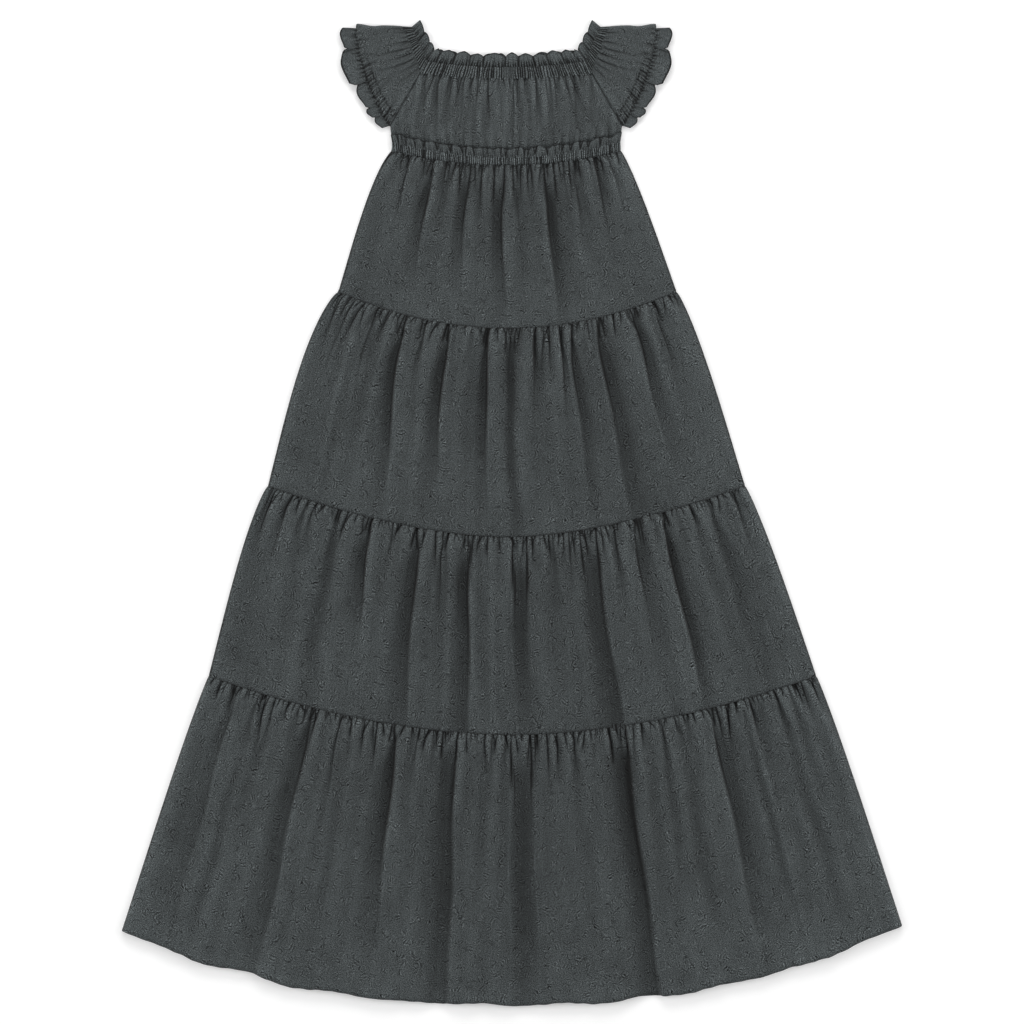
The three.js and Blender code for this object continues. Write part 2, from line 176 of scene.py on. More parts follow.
TIER_3 = [
    Fold(0.046, 0.050, 3.0, 6.0, 0.50, 0.24, 1, 0),
    Fold(0.100, 0.100, 2.6, 4.0, 0.45, 0.14, 0, 0),
    Fold(0.152, 0.158, 4.4, 8.0, 0.60, 1.30, 0, 8),
    Fold(0.214, 0.222, 4.6, 7.5, 0.95, 0.70, 1, 10),
    Fold(0.265, 0.263, 2.6, 4.0, 0.40, 0.20, 0, 0),
    Fold(0.312, 0.3076, 5.5, 9.0, 0.90, 1.30, 1, 14),
    Fold(0.366, 0.360, 2.2, 2.4, 0.65, 0.30, 1, 0),
    Fold(0.417, 0.4146, 5.0, 8.5, 0.95, 1.30, 1, 8),
    Fold(0.528, 0.522, 7.5, 8.0, 0.98, 1.15, 0, 34),
    Fold(0.598, 0.596, 2.4, 4.0, 0.35, 0.16, 0, 0),
    Fold(0.670, 0.6694, 8.0, 9.0, 0.98, 1.50, 1, 30),
    Fold(0.724, 0.722, 2.0, 3.0, 0.55, 0.20, 0, 0),
    Fold(0.770, 0.760, 3.6, 6.0, 0.75, 0.55, -1, 8),
    Fold(0.830, 0.8264, 4.5, 6.0, 1.00, 1.25, -1, 10),
    Fold(0.922, 0.926, 4.6, 7.5, 0.45, 1.30, 0, 6),
    Fold(0.972, 0.974, 2.0, 3.0, 0.45, 0.25, -1, 0),
]
TIER_4 = [
    Fold(0.045, 0.045, 4.0, 10.0, 0.40, 1.10, 1, 6),
    Fold(0.110, 0.110, 2.4, 5.0, 0.30, 0.30, 0, 0),
    Fold(0.166, 0.160, 5.0, 10.0, 0.65, 1.30, 1, 8),
    Fold(0.216, 0.215, 2.0, 3.0, 0.35, 0.35, 1, 0),
    Fold(0.304, 0.3055, 5.5, 9.5, 0.90, 0.95, 1, 12),
    Fold(0.345, 0.345, 2.0, 3.0, 0.30, 0.12, 0, 0),
    Fold(0.397, 0.403, 7.5, 12.0, 0.92, 1.45, 1, 18),
    Fold(0.465, 0.465, 2.4, 4.0, 0.30, 0.14, 0, 0),
    Fold(0.514, 0.517, 10.0, 13.0, 0.92, 1.25, 0, 34),
    Fold(0.600, 0.598, 2.6, 5.0, 0.30, 0.20, 0, 0),
    Fold(0.6724, 0.679, 8.0, 10.5, 1.00, 1.70, 1, 24),
    Fold(0.745, 0.752, 3.0, 6.0, 0.35, 0.30, 0, 0),
    Fold(0.8315, 0.838, 5.5, 10.0, 0.80, 1.05, -1, 12),
    Fold(0.932, 0.936, 4.0, 9.0, 0.42, 1.10, 0, 0),
]
BODICE = [
    Fold(0.105, 0.205, 2.2, 4.5, 0.60, 0.80, 1, 0),
    Fold(0.250, 0.300, 2.2, 3.5, 0.50, 0.60, 1, 0),
    Fold(0.388, 0.424, 2.0, 3.5, 0.75, 0.70, 1, 0),
    Fold(0.535, 0.528, 1.4, 2.0, 0.50, 0.90, 1, 0),
    Fold(0.676, 0.632, 2.0, 4.0, 0.70, 0.55, -1, 0),
    Fold(0.735, 0.680, 1.8, 3.0, 0.50, 0.45, -1, 0),
    Fold(0.785, 0.715, 2.0, 3.5, 0.50, 0.80, -1, 0),
    Fold(0.893, 0.800, 2.4, 4.5, 0.60, 0.80, -1, 0),
]

# The tiers. plateau: how high the ridges of the front stand over the back; bulge, lean:
# how the sides flare and the middle swings between straight seams; cut: the flat size
# of one panel; columns: how many the front has; number: which tier it is.

Tier = namedtuple("Tier", "name top bottom folds plateau bulge lean cut columns number")
TIERS = [
    Tier("tier_1", "waist_bottom", "first", TIER_1, 5.2, 4.4, 1.4, (336, 165), 480, 1),
    Tier("tier_2", "first", "second", TIER_2, 6.2, 8.0, 3.0, (479, 199), 620, 2),
    Tier("tier_3", "second", "third", TIER_3, 6.8, 4.6, 1.2, (610, 188), 710, 3),
    Tier("tier_4", "third", "hem", TIER_4, 7.6, 2.4, 0.0, (776, 266), 780, 4),
]

# Small gathers: share of each kind, and the least and most that it runs down from its
# seam. A crease's start and end are places across the panel, 0 to 1.
GATHER_KINDS = ((0.42, 4, 11), (0.36, 12, 28), (0.22, 28, 65))
SEAM_STITCH = 2.6        # pitch of the stitches along a seam, which show as dashes of painted shade
ELASTIC_GATHERS = 0.7    # how much closer gathers are where elastic draws the cloth up
BACK_GATHERS = 7.0       # pitch of the back's gathers, which are plain flutes
SHORT_GATHER = 12        # a shorter one never starts as two
LONG_GATHER = 27         # from here on they are shallower again, as the short ones are
NEAR_FOLD = 11           # a gather this near to a long fold leans into it
Crease = namedtuple("Crease", "start end length half_start half_end depth")

# ---- The sleeve's outline, +X side, from the bodice's axis ----

SLEEVE = {  # x from the axis, and y
    "neck_corner": (75.7, 428.4),
    "neck_fold": (89.9, 461.2),
    "casing_corner": (81.6, 417.3),
    "casing_fold": (98.9, 461.7),
    "hem_fold": (141.2, 464.1),
    "underarm": (109.8, 367.7),
    "frill_tip": (81.8, high("neck_frill_left", 1)),
    "frill_mitre": (67.6, 440.5),
}
HEM_BULGE = 8.0         # how far the cuff's seam bulges from a straight line
NECK_FRILL = 13.0       # height of the neck's frill
WAIST_FRILL = 8.5       # height of the heading over the waist
UNDERARM = 0.76         # place down the bodice where the sleeve seam ends
UNDERARM_HALF = 109.8   # half the bodice's width there
SHOULDER = 1.9          # radius of the fold on the shoulder

# Seeds of the small folds, so that every run makes the same dress.
SEEDS = {
    "tiers": 10, "tier_backs": 110, "tier_shades": 210, "hem": 90, "bodice_front": 31, "bodice_back": 32,
    "ribs": 40, "neck_lobes": 20, "neck_frill": 21, "heading_lobes": 22, "heading": 23, "sleeve": 51,
    "side_casing": 61, "side_frill": 71, "cuff_frill": 81,
}

# Flat sizes of the pieces' cuts, along their seam and down from it.
CUTS = {
    "bodice": (290, 80), "neck_casing": (190, 10.5), "waist_casing": (290, 10),
    "neck_frill": (195, NECK_FRILL), "waist_frill": (290, 10), "sleeve": (270, 60),
    "side_trim": (115, 10.5), "cuff_frill": (300, 16),
}
BACK_CUT = 1000         # where the backs' cuts start, so that they aren't patterned as the fronts


# ---- Arithmetic ----


def mix(a, b, t):
    return a + (b - a) * t


def smooth(start, end, x):
    """0 before start and 1 past end, with an even step between."""
    t = np.clip((x - start) / (end - start), 0, 1)
    return t * t * (3 - 2 * t)


def falloff(distance, width, power=2):
    """1 at no distance, down to a third at the width, and to nothing beyond it."""
    return np.exp(-(np.abs(distance / width) ** power))


def from_side(u, width=1.0):
    """How far each place across a panel is from the nearer side."""
    return np.minimum(u, 1 - u) * width


def seeded(piece, more=0):
    """The random draws of one kind of piece; more tells its pieces apart."""
    return np.random.default_rng(SEEDS[piece] + more)


def on_seam(line, u):
    """Places along a seam, at u from 0 at its -X end to 1."""
    t = 2 * u - 1
    curve = line.rise * np.abs(t) ** line.bend
    return line.x + line.half * t, line.y + curve + line.tilt * t * np.abs(t)


def undulation(rng, across, down, wide, tall, waves=7):
    """A smooth seeded rise and fall, about -1 to 1."""
    total = 0
    for _ in range(waves):
        k = 2 * math.pi / (wide * rng.uniform(0.6, 1.7))
        m = 2 * math.pi / (tall * rng.uniform(0.6, 1.7)) * rng.choice([-1, 1])
        total = total + np.cos(k * across + m * down + rng.uniform(0, 2 * math.pi))
    return total / waves**0.5


def rows_from_seam(length, fine, coarse, start, end_fine=True):
    """Distances down a panel, close together under the seam and at the far end."""
    rows = [start]
    while rows[-1] < length:
        near = min(abs(rows[-1]), (length - rows[-1]) + (0 if end_fine else 1e6))
        rows.append(rows[-1] + mix(fine, coarse, min(1.0, near / 30)))
    rows = np.array(rows)
    return start + (rows - start) * (length - start) / (rows[-1] - start)


# ---- Meshes ----


def new_object(name, data):
    made = bpy.data.objects.new(name, data)
    bpy.context.collection.objects.link(made)
    return made


def every_second(count):
    """Every second place out of count, and the last."""
    return np.append(np.arange(0, count - 1, 2), count - 1)


def inner_side(outer, normal, thickness):
    """The inner side of a shell. Each point lies deep enough to clear all those about
    it, so that every second one of them is enough."""
    rows, columns, _ = outer.shape
    inner = outer - normal * thickness
    padded = np.pad(inner, ((1, 1), (1, 1), (0, 0)), mode="edge")
    sink = np.zeros((rows, columns))
    for r in range(3):
        for c in range(3):
            near = padded[r : r + rows, c : c + columns]
            sink = np.maximum(sink, np.sum(normal * (inner - near), axis=2))
    return inner - normal * np.minimum(sink, MOST_SINK)[..., None]


def grid_faces(index):
    a, b = index[:-1, :-1], index[1:, :-1]
    c, d = index[1:, 1:], index[:-1, 1:]
    return np.stack([a, b, c, d], -1).reshape(-1, 4)


def round_edge(index):
    return np.concatenate([index[:, 0], index[-1, 1:], index[-2::-1, -1], index[0, -2:0:-1]])


def rim_faces(index, picked, under):
    """The faces between the two sides' edges: those with four corners, and those with
    five, where the outer side has a point between the inner side's two."""
    fine, coarse, inner = round_edge(index), round_edge(index[picked]), round_edge(under)
    place = np.flatnonzero(np.isin(fine, coarse))
    steps = np.diff(np.append(place, len(fine)))
    between = fine[(place + 1) % len(fine)]
    rim = np.stack([coarse, inner, np.roll(inner, -1), np.roll(coarse, -1), between], -1)
    return rim[steps == 1, :4], rim[steps == 2]


def closed_shell(name, outer, thickness, cut, fold, flip=False):
    """A thin closed shell from a grid of points: outer is rows x columns x 3, in mm.
    cut holds the place of each point in the flat cloth, and fold the shade painted at it,
    which the cloth's material reads: about 0 to 1, most in a fold, and less than 0 where
    a highlight is painted on a ridge."""
    rows, columns, _ = outer.shape
    along = np.gradient(outer, axis=0)
    across = np.gradient(outer, axis=1)
    normal = np.cross(along, across)
    normal /= np.maximum(np.linalg.norm(normal, axis=2, keepdims=True), 1e-9)
    if flip:
        normal = -normal
    picked = np.ix_(every_second(rows), every_second(columns))
    inner = inner_side(outer, normal, thickness)[picked]
    index = np.arange(rows * columns).reshape(rows, columns)
    under = rows * columns + np.arange(inner[..., 0].size).reshape(inner.shape[:2])
    faces = [grid_faces(index), grid_faces(under)[:, ::-1], *rim_faces(index, picked, under)]
    if flip:
        faces = [kind[:, ::-1] for kind in faces]
    corners = np.concatenate([kind.ravel() for kind in faces])
    sides = np.concatenate([np.full(len(kind), kind.shape[1]) for kind in faces])
    mesh = bpy.data.meshes.new(name)
    points = np.concatenate([outer.reshape(-1, 3), inner.reshape(-1, 3)]) * MM
    mesh.vertices.add(len(points))
    mesh.vertices.foreach_set("co", points.ravel())
    mesh.loops.add(len(corners))
    mesh.loops.foreach_set("vertex_index", corners)
    mesh.polygons.add(len(sides))
    mesh.polygons.foreach_set("loop_start", np.cumsum(sides) - sides)
    mesh.polygons.foreach_set("use_smooth", np.ones(len(sides), bool))
    mesh.update(calc_edges=True)
    flat = np.concatenate([cut.reshape(-1, 2), cut[picked].reshape(-1, 2)]) * MM
    mesh.uv_layers.new(name="Cut").data.foreach_set("uv", flat[corners].ravel())
    depth = np.concatenate([fold.ravel(), fold[picked].ravel()])
    mesh.attributes.new("fold", "FLOAT", "POINT").data.foreach_set("value", depth)
    mesh.validate()
    return new_object(name, mesh)


def cloth_piece(sizes, node, material, points, cut, fold, flip=False):
    """Makes one piece of cloth with its material and the UVs of its flat cut, puts it under
    the dress's root and hides the frame's solid that it stands for."""
    name, wall = f"{node}_cloth", cloth_wall(sizes)
    piece = closed_shell(name, np.stack(points, -1), wall, np.stack(cut, -1), fold, flip)
    piece.data.materials.append(material)
    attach(piece, "root")
    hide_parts(node)


def cloth_wall(sizes):
    return sizes.cloth / MM


def flat_cut(panel, flat, start=0):
    """Where a panel's points are in its flat cut, which starts that far across."""
    return panel.u * flat[0] + start, panel.down * flat[1] / panel.length


# ---- Folds and gathers ----


def small_gathers(rng, width, long_folds, pitch, depth=(0.6, 1.0), kinds=GATHER_KINDS, lean=0.0):
    """Seeded gathers along a seam. Those beside a long fold lean into it, and a longer
    one often starts as two that meet. lean draws them to the panel's middle, as a share
    of the way for each millimetre that they run down."""
    creases = []
    at = pitch * rng.uniform(0.3, 1.0)
    shares = [kind[0] for kind in kinds]
    while at < width - 0.4 * pitch:
        _, shortest, longest = kinds[rng.choice(len(kinds), p=shares)]
        length = rng.uniform(shortest, longest)
        start = at / width
        end = mix(start + rng.normal(0, 0.9) / width, 0.5, lean * length)
        near = min(long_folds, key=lambda u: abs(u - start), default=start)
        if abs(near - start) * width < NEAR_FOLD:
            end = mix(start, near, 0.45)
        is_short = length < SHORT_GATHER
        strength = rng.uniform(*depth) * (1 if SHORT_GATHER <= length < LONG_GATHER else 0.8)
        half = rng.uniform(0.5, 0.8) if is_short else rng.uniform(0.7, 1.15)
        creases.append(Crease(start, end, length, half, half + min(0.10 * length, 4.2), strength))
        if not is_short and rng.random() < 0.5:
            apart = rng.uniform(2.2, 3.6) * rng.choice([-1, 1])
            meets = mix(start, end, 0.3)
            creases.append(Crease(start + apart / width, meets, length * 0.4, 0.8 * half, half, strength))
        at += pitch * rng.uniform(0.5, 1.55)
    return creases


def soft_folds(rng, width, spacing, depth, lean=0.0):
    """Seeded shallow folds between the listed ones. lean is how far towards the
    panel's middle they run."""
    folds = []
    at = spacing * rng.uniform(0.2, 0.8)
    while at < width:
        top = at / width
        hem = mix(top + rng.normal(0, 0.004), 0.5, lean)
        half = rng.uniform(3.0, 6.5)
        reach = rng.uniform(0.25, 1.2)
        folds.append(Fold(top, hem, half, half * rng.uniform(1.2, 2.0), rng.uniform(*depth), reach, 0, 0))
        at += spacing * rng.uniform(0.6, 1.5)
    return folds


def trough(x, sharp):
    """How deep a trough is across it, with x in half widths and 1 on its floor. A sharp
    side is steep, and the side across from it climbs slowly."""
    if sharp == 0:
        return falloff(x, 1.15, 2.3)
    return np.where(x * sharp > 0, 1 / (1 + np.abs(x) ** 7), falloff(x, 1.55, 1.7))


BELOW_GATHERS = 50.0     # where a long fold leaves the gathers behind
CORE_LENGTH = 24.0       # how far the shade painted along its sharp edge lasts from there
LONG_TONGUE = 15         # a fold with a longer one is as wide at its seam as further down
FORKED_TONGUE = 30       # one longer still leaves two sharp edges


def press_fold(f, u, v, down, width, clear, lip, painted_core_shade):
    """Presses one long fold into the cloth. x is the distance from its middle, in half
    widths, and clear, lip and the shade painted along its sharp edge are changed in place."""
    t = np.clip(v, 0, 1)
    waver = 1.1 * np.sin(down / (14 + 9 * f.depth) + 90 * f.top) * smooth(5, 40, down)
    across = (u - mix(f.top, f.hem, t)) * width + waver
    full = mix(f.half_top, f.half_hem, t)
    half = full * (1 if f.tongue > LONG_TONGUE else mix(0.3, 1.0, smooth(-2, 50, down)))
    x = (across - f.sharp * (full - half)) / half
    is_sharp = (x * f.sharp > 0) | (f.sharp == 0 and f.tongue > FORKED_TONGUE)
    shape = mix(trough(x, f.sharp), trough(x, 0), 0.8 * smooth(0.6 * f.reach, 1.15 * f.reach, v))
    fade = 1 - smooth(max(f.reach - 0.7, -0.05), f.reach + 0.15, v)
    sunk = mix(0.25, 1.0, smooth(0.35 * f.tongue, 1.25 * f.tongue + 1, down))
    sunk = sunk * mix(0.45 if f.tongue else 1.0, 1.0, smooth(3, 45, down))
    clear *= 1 - f.depth * fade * sunk * shape
    # The lip along the sharp edge: it stands up a little, and a highlight is painted on it.
    edge = falloff((np.abs(x) - 1.0) * half - 1.3, 0.7) * is_sharp
    edge = edge * (0.6 + 0.4 * np.sin(down / 9 + 50 * f.top))
    np.maximum(lip, edge * fade * f.depth * smooth(0.1, 0.35, v), out=lip)
    # Shade painted along the fold's sharp edge, weaker on its other side, which lasts longer and spreads
    # wider below a long fold.
    lasts = CORE_LENGTH * max(1, 9 * (f.reach - 1.4))
    ends = falloff(np.clip(down - BELOW_GATHERS, 0, None), lasts, 1)
    drawn = mix(0.4, 1.0, smooth(4, 40, down)) * ends * f.depth * sunk
    line_width = 0.9 * (lasts / CORE_LENGTH) ** 2
    drawn = drawn * falloff((np.abs(x) - 0.75) * half, line_width) * (CORE_LENGTH / lasts) ** 0.5
    np.maximum(painted_core_shade, drawn * np.where(is_sharp, 1, 0.3), out=painted_core_shade)
    # A tongue's two sides are pressed in, with shade painted along them.
    for side in (-1, 1) if f.tongue else ():
        middle = mix(f.top, f.hem, t) + side * half * 0.95 / width
        stays = np.clip(1 - down / (1.5 * f.tongue), 0, 1)
        off, wide = (u - middle) * width, mix(1.2, 2.2, 1 - stays)
        clear *= 1 - 0.9 * f.depth * stays**0.4 * falloff(off, wide, 1.6)
        np.maximum(painted_core_shade, f.depth * stays**0.5 * falloff(off, wide), out=painted_core_shade)


def press_crease(c, u, down, width, clear, painted_core_shade):
    """Presses one small gather into the cloth, steeper on the side towards the middle."""
    t = np.clip(down / c.length, 0, 1)
    off = (u - mix(c.start, c.end, t)) * width
    x = off / mix(c.half_start, c.half_end, t)
    steep_side = 1 if c.start < 0.5 else -1
    half = np.where(x * steep_side > 0, 0.65, 1.75)
    clear *= 1 - c.depth * (1 - t) ** 0.65 * falloff(x, half, 1.4)
    # Shade painted in a narrow line down the gather's upper part.
    np.maximum(painted_core_shade, 1.9 * c.depth * np.clip(1.1 - 1.8 * t, 0, 1) * falloff(off, 0.65), out=painted_core_shade)


def pressed(u, v, down, width, folds, creases):
    """How far the cloth is pressed down at each point, 0 on a ridge to 1 in a trough,
    which also sets shade painted in the trough; the lip that stands along a trough's sharp
    edge, on which a highlight is painted; and the shade painted in a narrow line down each
    gather where it is drawn tight."""
    clear, lip, painted_core_shade = np.ones_like(u), np.zeros_like(u), np.zeros_like(u)
    for fold in folds:
        press_fold(fold, u, v, down, width, clear, lip, painted_core_shade)
    for crease in creases:
        press_crease(crease, u, down, width, clear, painted_core_shade)
    return 1 - clear, lip, painted_core_shade


def cavity(x, z, reach=2.6, deep=1.5):
    """How far each point lies under the cloth about it, for the shade painted through the
    fold attribute: 1 in a deep crease, 0 on the flat, and less than 0 on a ridge, where
    it paints a highlight."""
    pitch = float(np.mean(np.abs(np.diff(x, axis=1))))
    spread = np.arange(-int(3 * reach / pitch), int(3 * reach / pitch) + 1)
    weight = np.exp(-0.5 * (spread * pitch / reach) ** 2)
    weight /= weight.sum()
    edge = len(spread) // 2
    padded = np.pad(z, ((0, 0), (edge, edge)), mode="edge")
    around = np.array([np.convolve(row, weight, mode="valid") for row in padded])
    return np.clip((around - z) / deep, -0.6, 1)


def edge_shade(u, width):
    """Shade painted along the side edges, which turn down to the floor."""
    return 1.2 * falloff(from_side(u, width), 1.2)


def bulge_ridges(x, z, amount, most=0.9):
    """Moves points sideways off the ridges, so that ridges round out over the troughs."""
    slope = np.gradient(z, axis=1) / np.maximum(np.abs(np.gradient(x, axis=1)), 0.2)
    return x - np.clip(amount * slope, -most, most)


def rounded_side(distance, reach):
    """0 at an edge to 1 further in, as a quarter circle."""
    t = np.clip(distance / reach, 0, 1)
    return np.sqrt(1 - (1 - t) ** 2)


# ---- The tiers ----


# The points of a flat panel, as grids. u: place across it, 0 to 1; v, down: place down
# it, 0 to 1 and in millimetres; x, y: where it lies; width, length: its size there.
Panel = namedtuple("Panel", "u v down x y width length")
FRONT_ROWS = (0.9, 4.2)  # least and most between a tier's rows of points
BACK_ROWS = (1.6, 6.0)
PUCKER_PITCH = 9.0       # of the slack puckers over a tier's lower seam
SOFT_SPACING = 12.0      # between a tier's soft folds
# How much shade is painted into the cloth's colour in a fold, along the narrow lines in
# its folds and gathers, in dashes along its top seam and at its lower seam, and how much
# highlight is painted on its lip.
FOLD_DARK, CORE_DARK, TOP_SEAM_SHADE, LOWER_SEAM_SHADE = 0.55, 0.85, 0.5, 0.2
LIP_LIGHT = 0.42


def tier_grid(tier, columns, fine, coarse):
    upper, lower = SEAMS[tier.top], SEAMS[tier.bottom]
    length = upper.y - lower.y
    down = rows_from_seam(length, fine, coarse, -ALLOWANCE, end_fine=tier.bottom != "hem")
    u, down = np.meshgrid(np.linspace(0, 1, columns), down)
    v = down / length
    inside = np.clip(v, 0, 1)
    x0, y0 = on_seam(upper, u)
    x1, y1 = on_seam(lower, u)
    t = 2 * u - 1
    swell = np.sin(math.pi * inside**0.6)
    x = mix(x0, x1, inside) + swell * (tier.bulge * np.sign(t) * np.abs(t) ** 3 - tier.lean)
    return Panel(u, v, down, x, mix(y0, y1, v), 2 * mix(upper.half, lower.half, inside), length)


def back_lift(tier, panel):
    """How high the back's underside stands off the floor: flat but for a few long folds
    and the gathers at its top."""
    u, v, down, _, _, width, _ = panel
    rng = seeded("tier_backs", tier.number)
    lift = np.zeros_like(u)
    inside = np.clip(v, 0, 1)
    for f, g in zip(tier.folds, tier.folds[1:]):
        middle = mix((f.top + g.top) / 2, (f.hem + g.hem) / 2, inside)
        half = rng.uniform(3.0, 6.5)
        height = rng.uniform(0.2, 1.9)
        reach = rng.uniform(0.4, 1.3)
        shape = falloff((u - middle) * width, half, 2.2)
        lift = np.maximum(lift, height * shape * (1 - smooth(reach - 0.3, reach, v)))
    along = u * 2 * SEAMS[tier.top].half
    sway = 2 * undulation(rng, along, down, 40, 300)
    flutes = 0.5 + 0.5 * np.cos(2 * math.pi * along / BACK_GATHERS + sway)
    lift = np.maximum(lift, 1.1 * flutes * falloff(np.clip(down, 0, None), 9, 1))
    return lift * rounded_side(from_side(u, width), 8.0)


def seam_profile(down, length, start, end, is_hem):
    """How high the ridges stand along a panel: low at its seams, full between them."""
    rise = mix(start, 1.0, 1 - falloff(np.clip(down, 0, None), 2.0, 1))
    fall = 1.0 if is_hem else mix(end, 1.0, 1 - falloff(np.clip(length - down, 0, None), 1.0, 1))
    return rise * fall * mix(1.0, 0.9 if is_hem else 0.62, smooth(0.1, 1.0, down / length))


def tier_folds(rng, sizes, tier, panel):
    """How far a tier's front is pressed down by its folds, its gathers and the puckers
    over its lower seam, with the lips, and the shade painted along narrow lines, that
    pressed gives."""
    u, v, down, _, _, width, length = panel
    top_width = 2 * SEAMS[tier.top].half
    long_folds = [f.top for f in tier.folds]
    pitch, depth = sizes.gather_pitch / MM, (0.7, 1.1)
    if tier.top == "waist_bottom":
        pitch, depth = ELASTIC_GATHERS * pitch, (0.85, 1.3)
    creases = small_gathers(rng, top_width, long_folds, pitch, depth)
    creases += small_gathers(rng, top_width, [], 0.95 * pitch, (0.5, 0.9), ((1.0, 5, 12),))
    soft = soft_folds(rng, top_width, SOFT_SPACING, (0.08, 0.34))
    sunk, lip, painted_core_shade = pressed(u, v, down, width, tier.folds + soft, creases)
    if tier.bottom != "hem":
        end_width = 2 * SEAMS[tier.bottom].half
        puckers = small_gathers(rng, end_width, [], PUCKER_PITCH, (0.1, 0.4), ((1.0, 4, 13),))
        pucker = pressed(u, v, length - down, width, [], puckers)[0]
        sunk = 1 - (1 - sunk) * (1 - 0.6 * pucker)
    return sunk, lip, painted_core_shade


def tier_height(rng, sizes, tier, panel, sunk, lip):
    """How high the underside of a tier's front lies, and the least height that it can
    have over the back."""
    u, _, down, _, _, width, length = panel
    is_hem = tier.bottom == "hem"
    along = tier_run(tier, u)
    plateau = tier.plateau * sizes.fold_height * seam_profile(down, length, 0.38, 0.5, is_hem)
    plateau *= 1 + 0.10 * undulation(rng, along, down, 26, 300)
    plateau *= rounded_side(from_side(u, width), 7.0)
    ripple = 0.04 * undulation(rng, along, down, 5.0, 60) + 0.30 * undulation(rng, along, down, 34, 300)
    ripple *= smooth(0, 12, down) * (1 if is_hem else smooth(0, 6, length - down))
    under = back_lift(tier, panel) + cloth_wall(sizes) + CLEAR
    z = under + plateau * (1 - sunk) + 0.2 * lip + ripple * (1 - 0.6 * sunk)
    return np.where(down < 0, under + 0.15, z), under


def tier_run(tier, u):
    """Millimetres along a tier, at its middle height."""
    return u * (SEAMS[tier.top].half + SEAMS[tier.bottom].half)


def tier_shade(tier, panel, x, z):
    """How much shade is painted on a tier's front apart from its pressed folds: over the
    whole tier, in its hollows, with a highlight painted on its ridges, in dashes at the
    stitches of its top and at its lower seam."""
    u, v, down, _, _, _, length = panel
    is_hem = tier.bottom == "hem"
    along = tier_run(tier, u)
    # Shade painted along the top seam, in dashes at the stitches, and along the lower seam.
    stitch = 0.55 + 0.45 * np.cos(2 * math.pi * along / SEAM_STITCH)
    at_top = falloff(down, 0.5) * (down > -0.5) * stitch
    at_end = 0 if is_hem else falloff(length - down, 0.6)
    # Shade painted in the hollows and a highlight painted on the ridges, weaker down the tier.
    hollow = 0.25 * cavity(x, z, 6.5, 2.6) + 0.26 * cavity(x, z) + 0.3 * cavity(x, z, 1.0, 0.5)
    hollow *= mix(1.0, 0.5, np.clip(v, 0, 1))
    # Shade painted over the whole tier, more in its middle than at its sides and, on the hem's tier, less
    # towards the hem; then faint streaks, darker and lighter.
    shade = 0.18 - 0.13 * (2 * u - 1) ** 2 - (0.22 * smooth(0.5, 1, v) if is_hem else 0)
    shade += 0.036 * undulation(seeded("tier_shades", tier.number), along, down, 3.6, 260)
    return shade, hollow, at_top, at_end


def tier_front(sizes, tier, material):
    """Makes a tier's front, and gives the line that the stitches of its hem follow."""
    panel = tier_grid(tier, tier.columns, *FRONT_ROWS)
    u, v, down, x, y, width, length = panel
    rng = seeded("tiers", tier.number)
    sunk, lip, painted_core_shade = tier_folds(rng, sizes, tier, panel)
    z, under = tier_height(rng, sizes, tier, panel, sunk, lip)
    if tier.bottom == "hem":
        turn = length - down
        z += 0.35 * smooth(HEM_TURN + 0.6, HEM_TURN - 1.4, turn)
        z -= 0.3 * falloff(turn - HEM_TURN, 0.8)
        y = y + hem_waver(u, v, sunk)
        # Shade painted in small puckers over the hem's stitches, and a highlight painted along the turned
        # hem.
        puckers = np.clip(0.5 + 0.5 * undulation(rng, tier_run(tier, u), down, 4, 1e3), 0, 1)
        sunk += 0.25 * puckers * falloff(turn - HEM_TURN, 0.9)
        sunk -= 0.14 * smooth(HEM_TURN + 0.5, HEM_TURN - 1.5, turn)
    z = np.maximum(z, under) + cloth_wall(sizes)
    x = bulge_ridges(x, z, 0.42)
    shade, hollow, at_top, at_end = tier_shade(tier, panel, x, z)
    # The shade painted into the cloth's colour: in the pressed folds and along their narrow lines, in the
    # hollows, along the seams and the side edges, less a highlight painted on the lips.
    painted_shade = shade + FOLD_DARK * sunk - LIP_LIGHT * lip + CORE_DARK * painted_core_shade + hollow
    painted_shade = painted_shade + TOP_SEAM_SHADE * at_top + LOWER_SEAM_SHADE * at_end
    painted_shade += edge_shade(u, width)
    cut, rests_on = flat_cut(panel, tier.cut), [f"{tier.name}_back"]
    cloth_piece(sizes, f"{tier.name}_front", material, (x, y, z), cut, painted_shade)
    stitched = np.argmin(np.abs(length - down[:, 0] - HEM_TURN))
    return np.stack([x, y, z], -1)[stitched]


def hem_waver(u, v, sunk):
    """The hem's edge waves a little, and runs in where a trough reaches it."""
    rng = seeded("hem")
    wave = 2.6 * undulation(rng, u, 0 * u, 0.10, 1.0, 5) + 0.3 * undulation(rng, u, 0 * u, 0.03, 1.0, 5)
    return (wave + 1.2 * sunk) * smooth(0.8, 1.0, v) * rounded_side(from_side(u), 0.1)


def tier_back(sizes, tier, material):
    """Makes a tier's back, flat but for its lift."""
    panel = tier_grid(tier, tier.columns // 2, *BACK_ROWS)
    u, v, down, x, y, _, _ = panel
    lift = back_lift(tier, panel)
    under = lift + FLOOR_GAP + np.where(down < 0, cloth_wall(sizes) + 0.2, 0)
    if tier.bottom == "hem":
        y = y + hem_waver(u, v, 0 * u)
    points, cut = (x, y, under), flat_cut(panel, tier.cut, BACK_CUT)
    cloth_piece(sizes, f"{tier.name}_back", material, points, cut, 0.4 * lift, flip=True)


# ---- The bodice ----


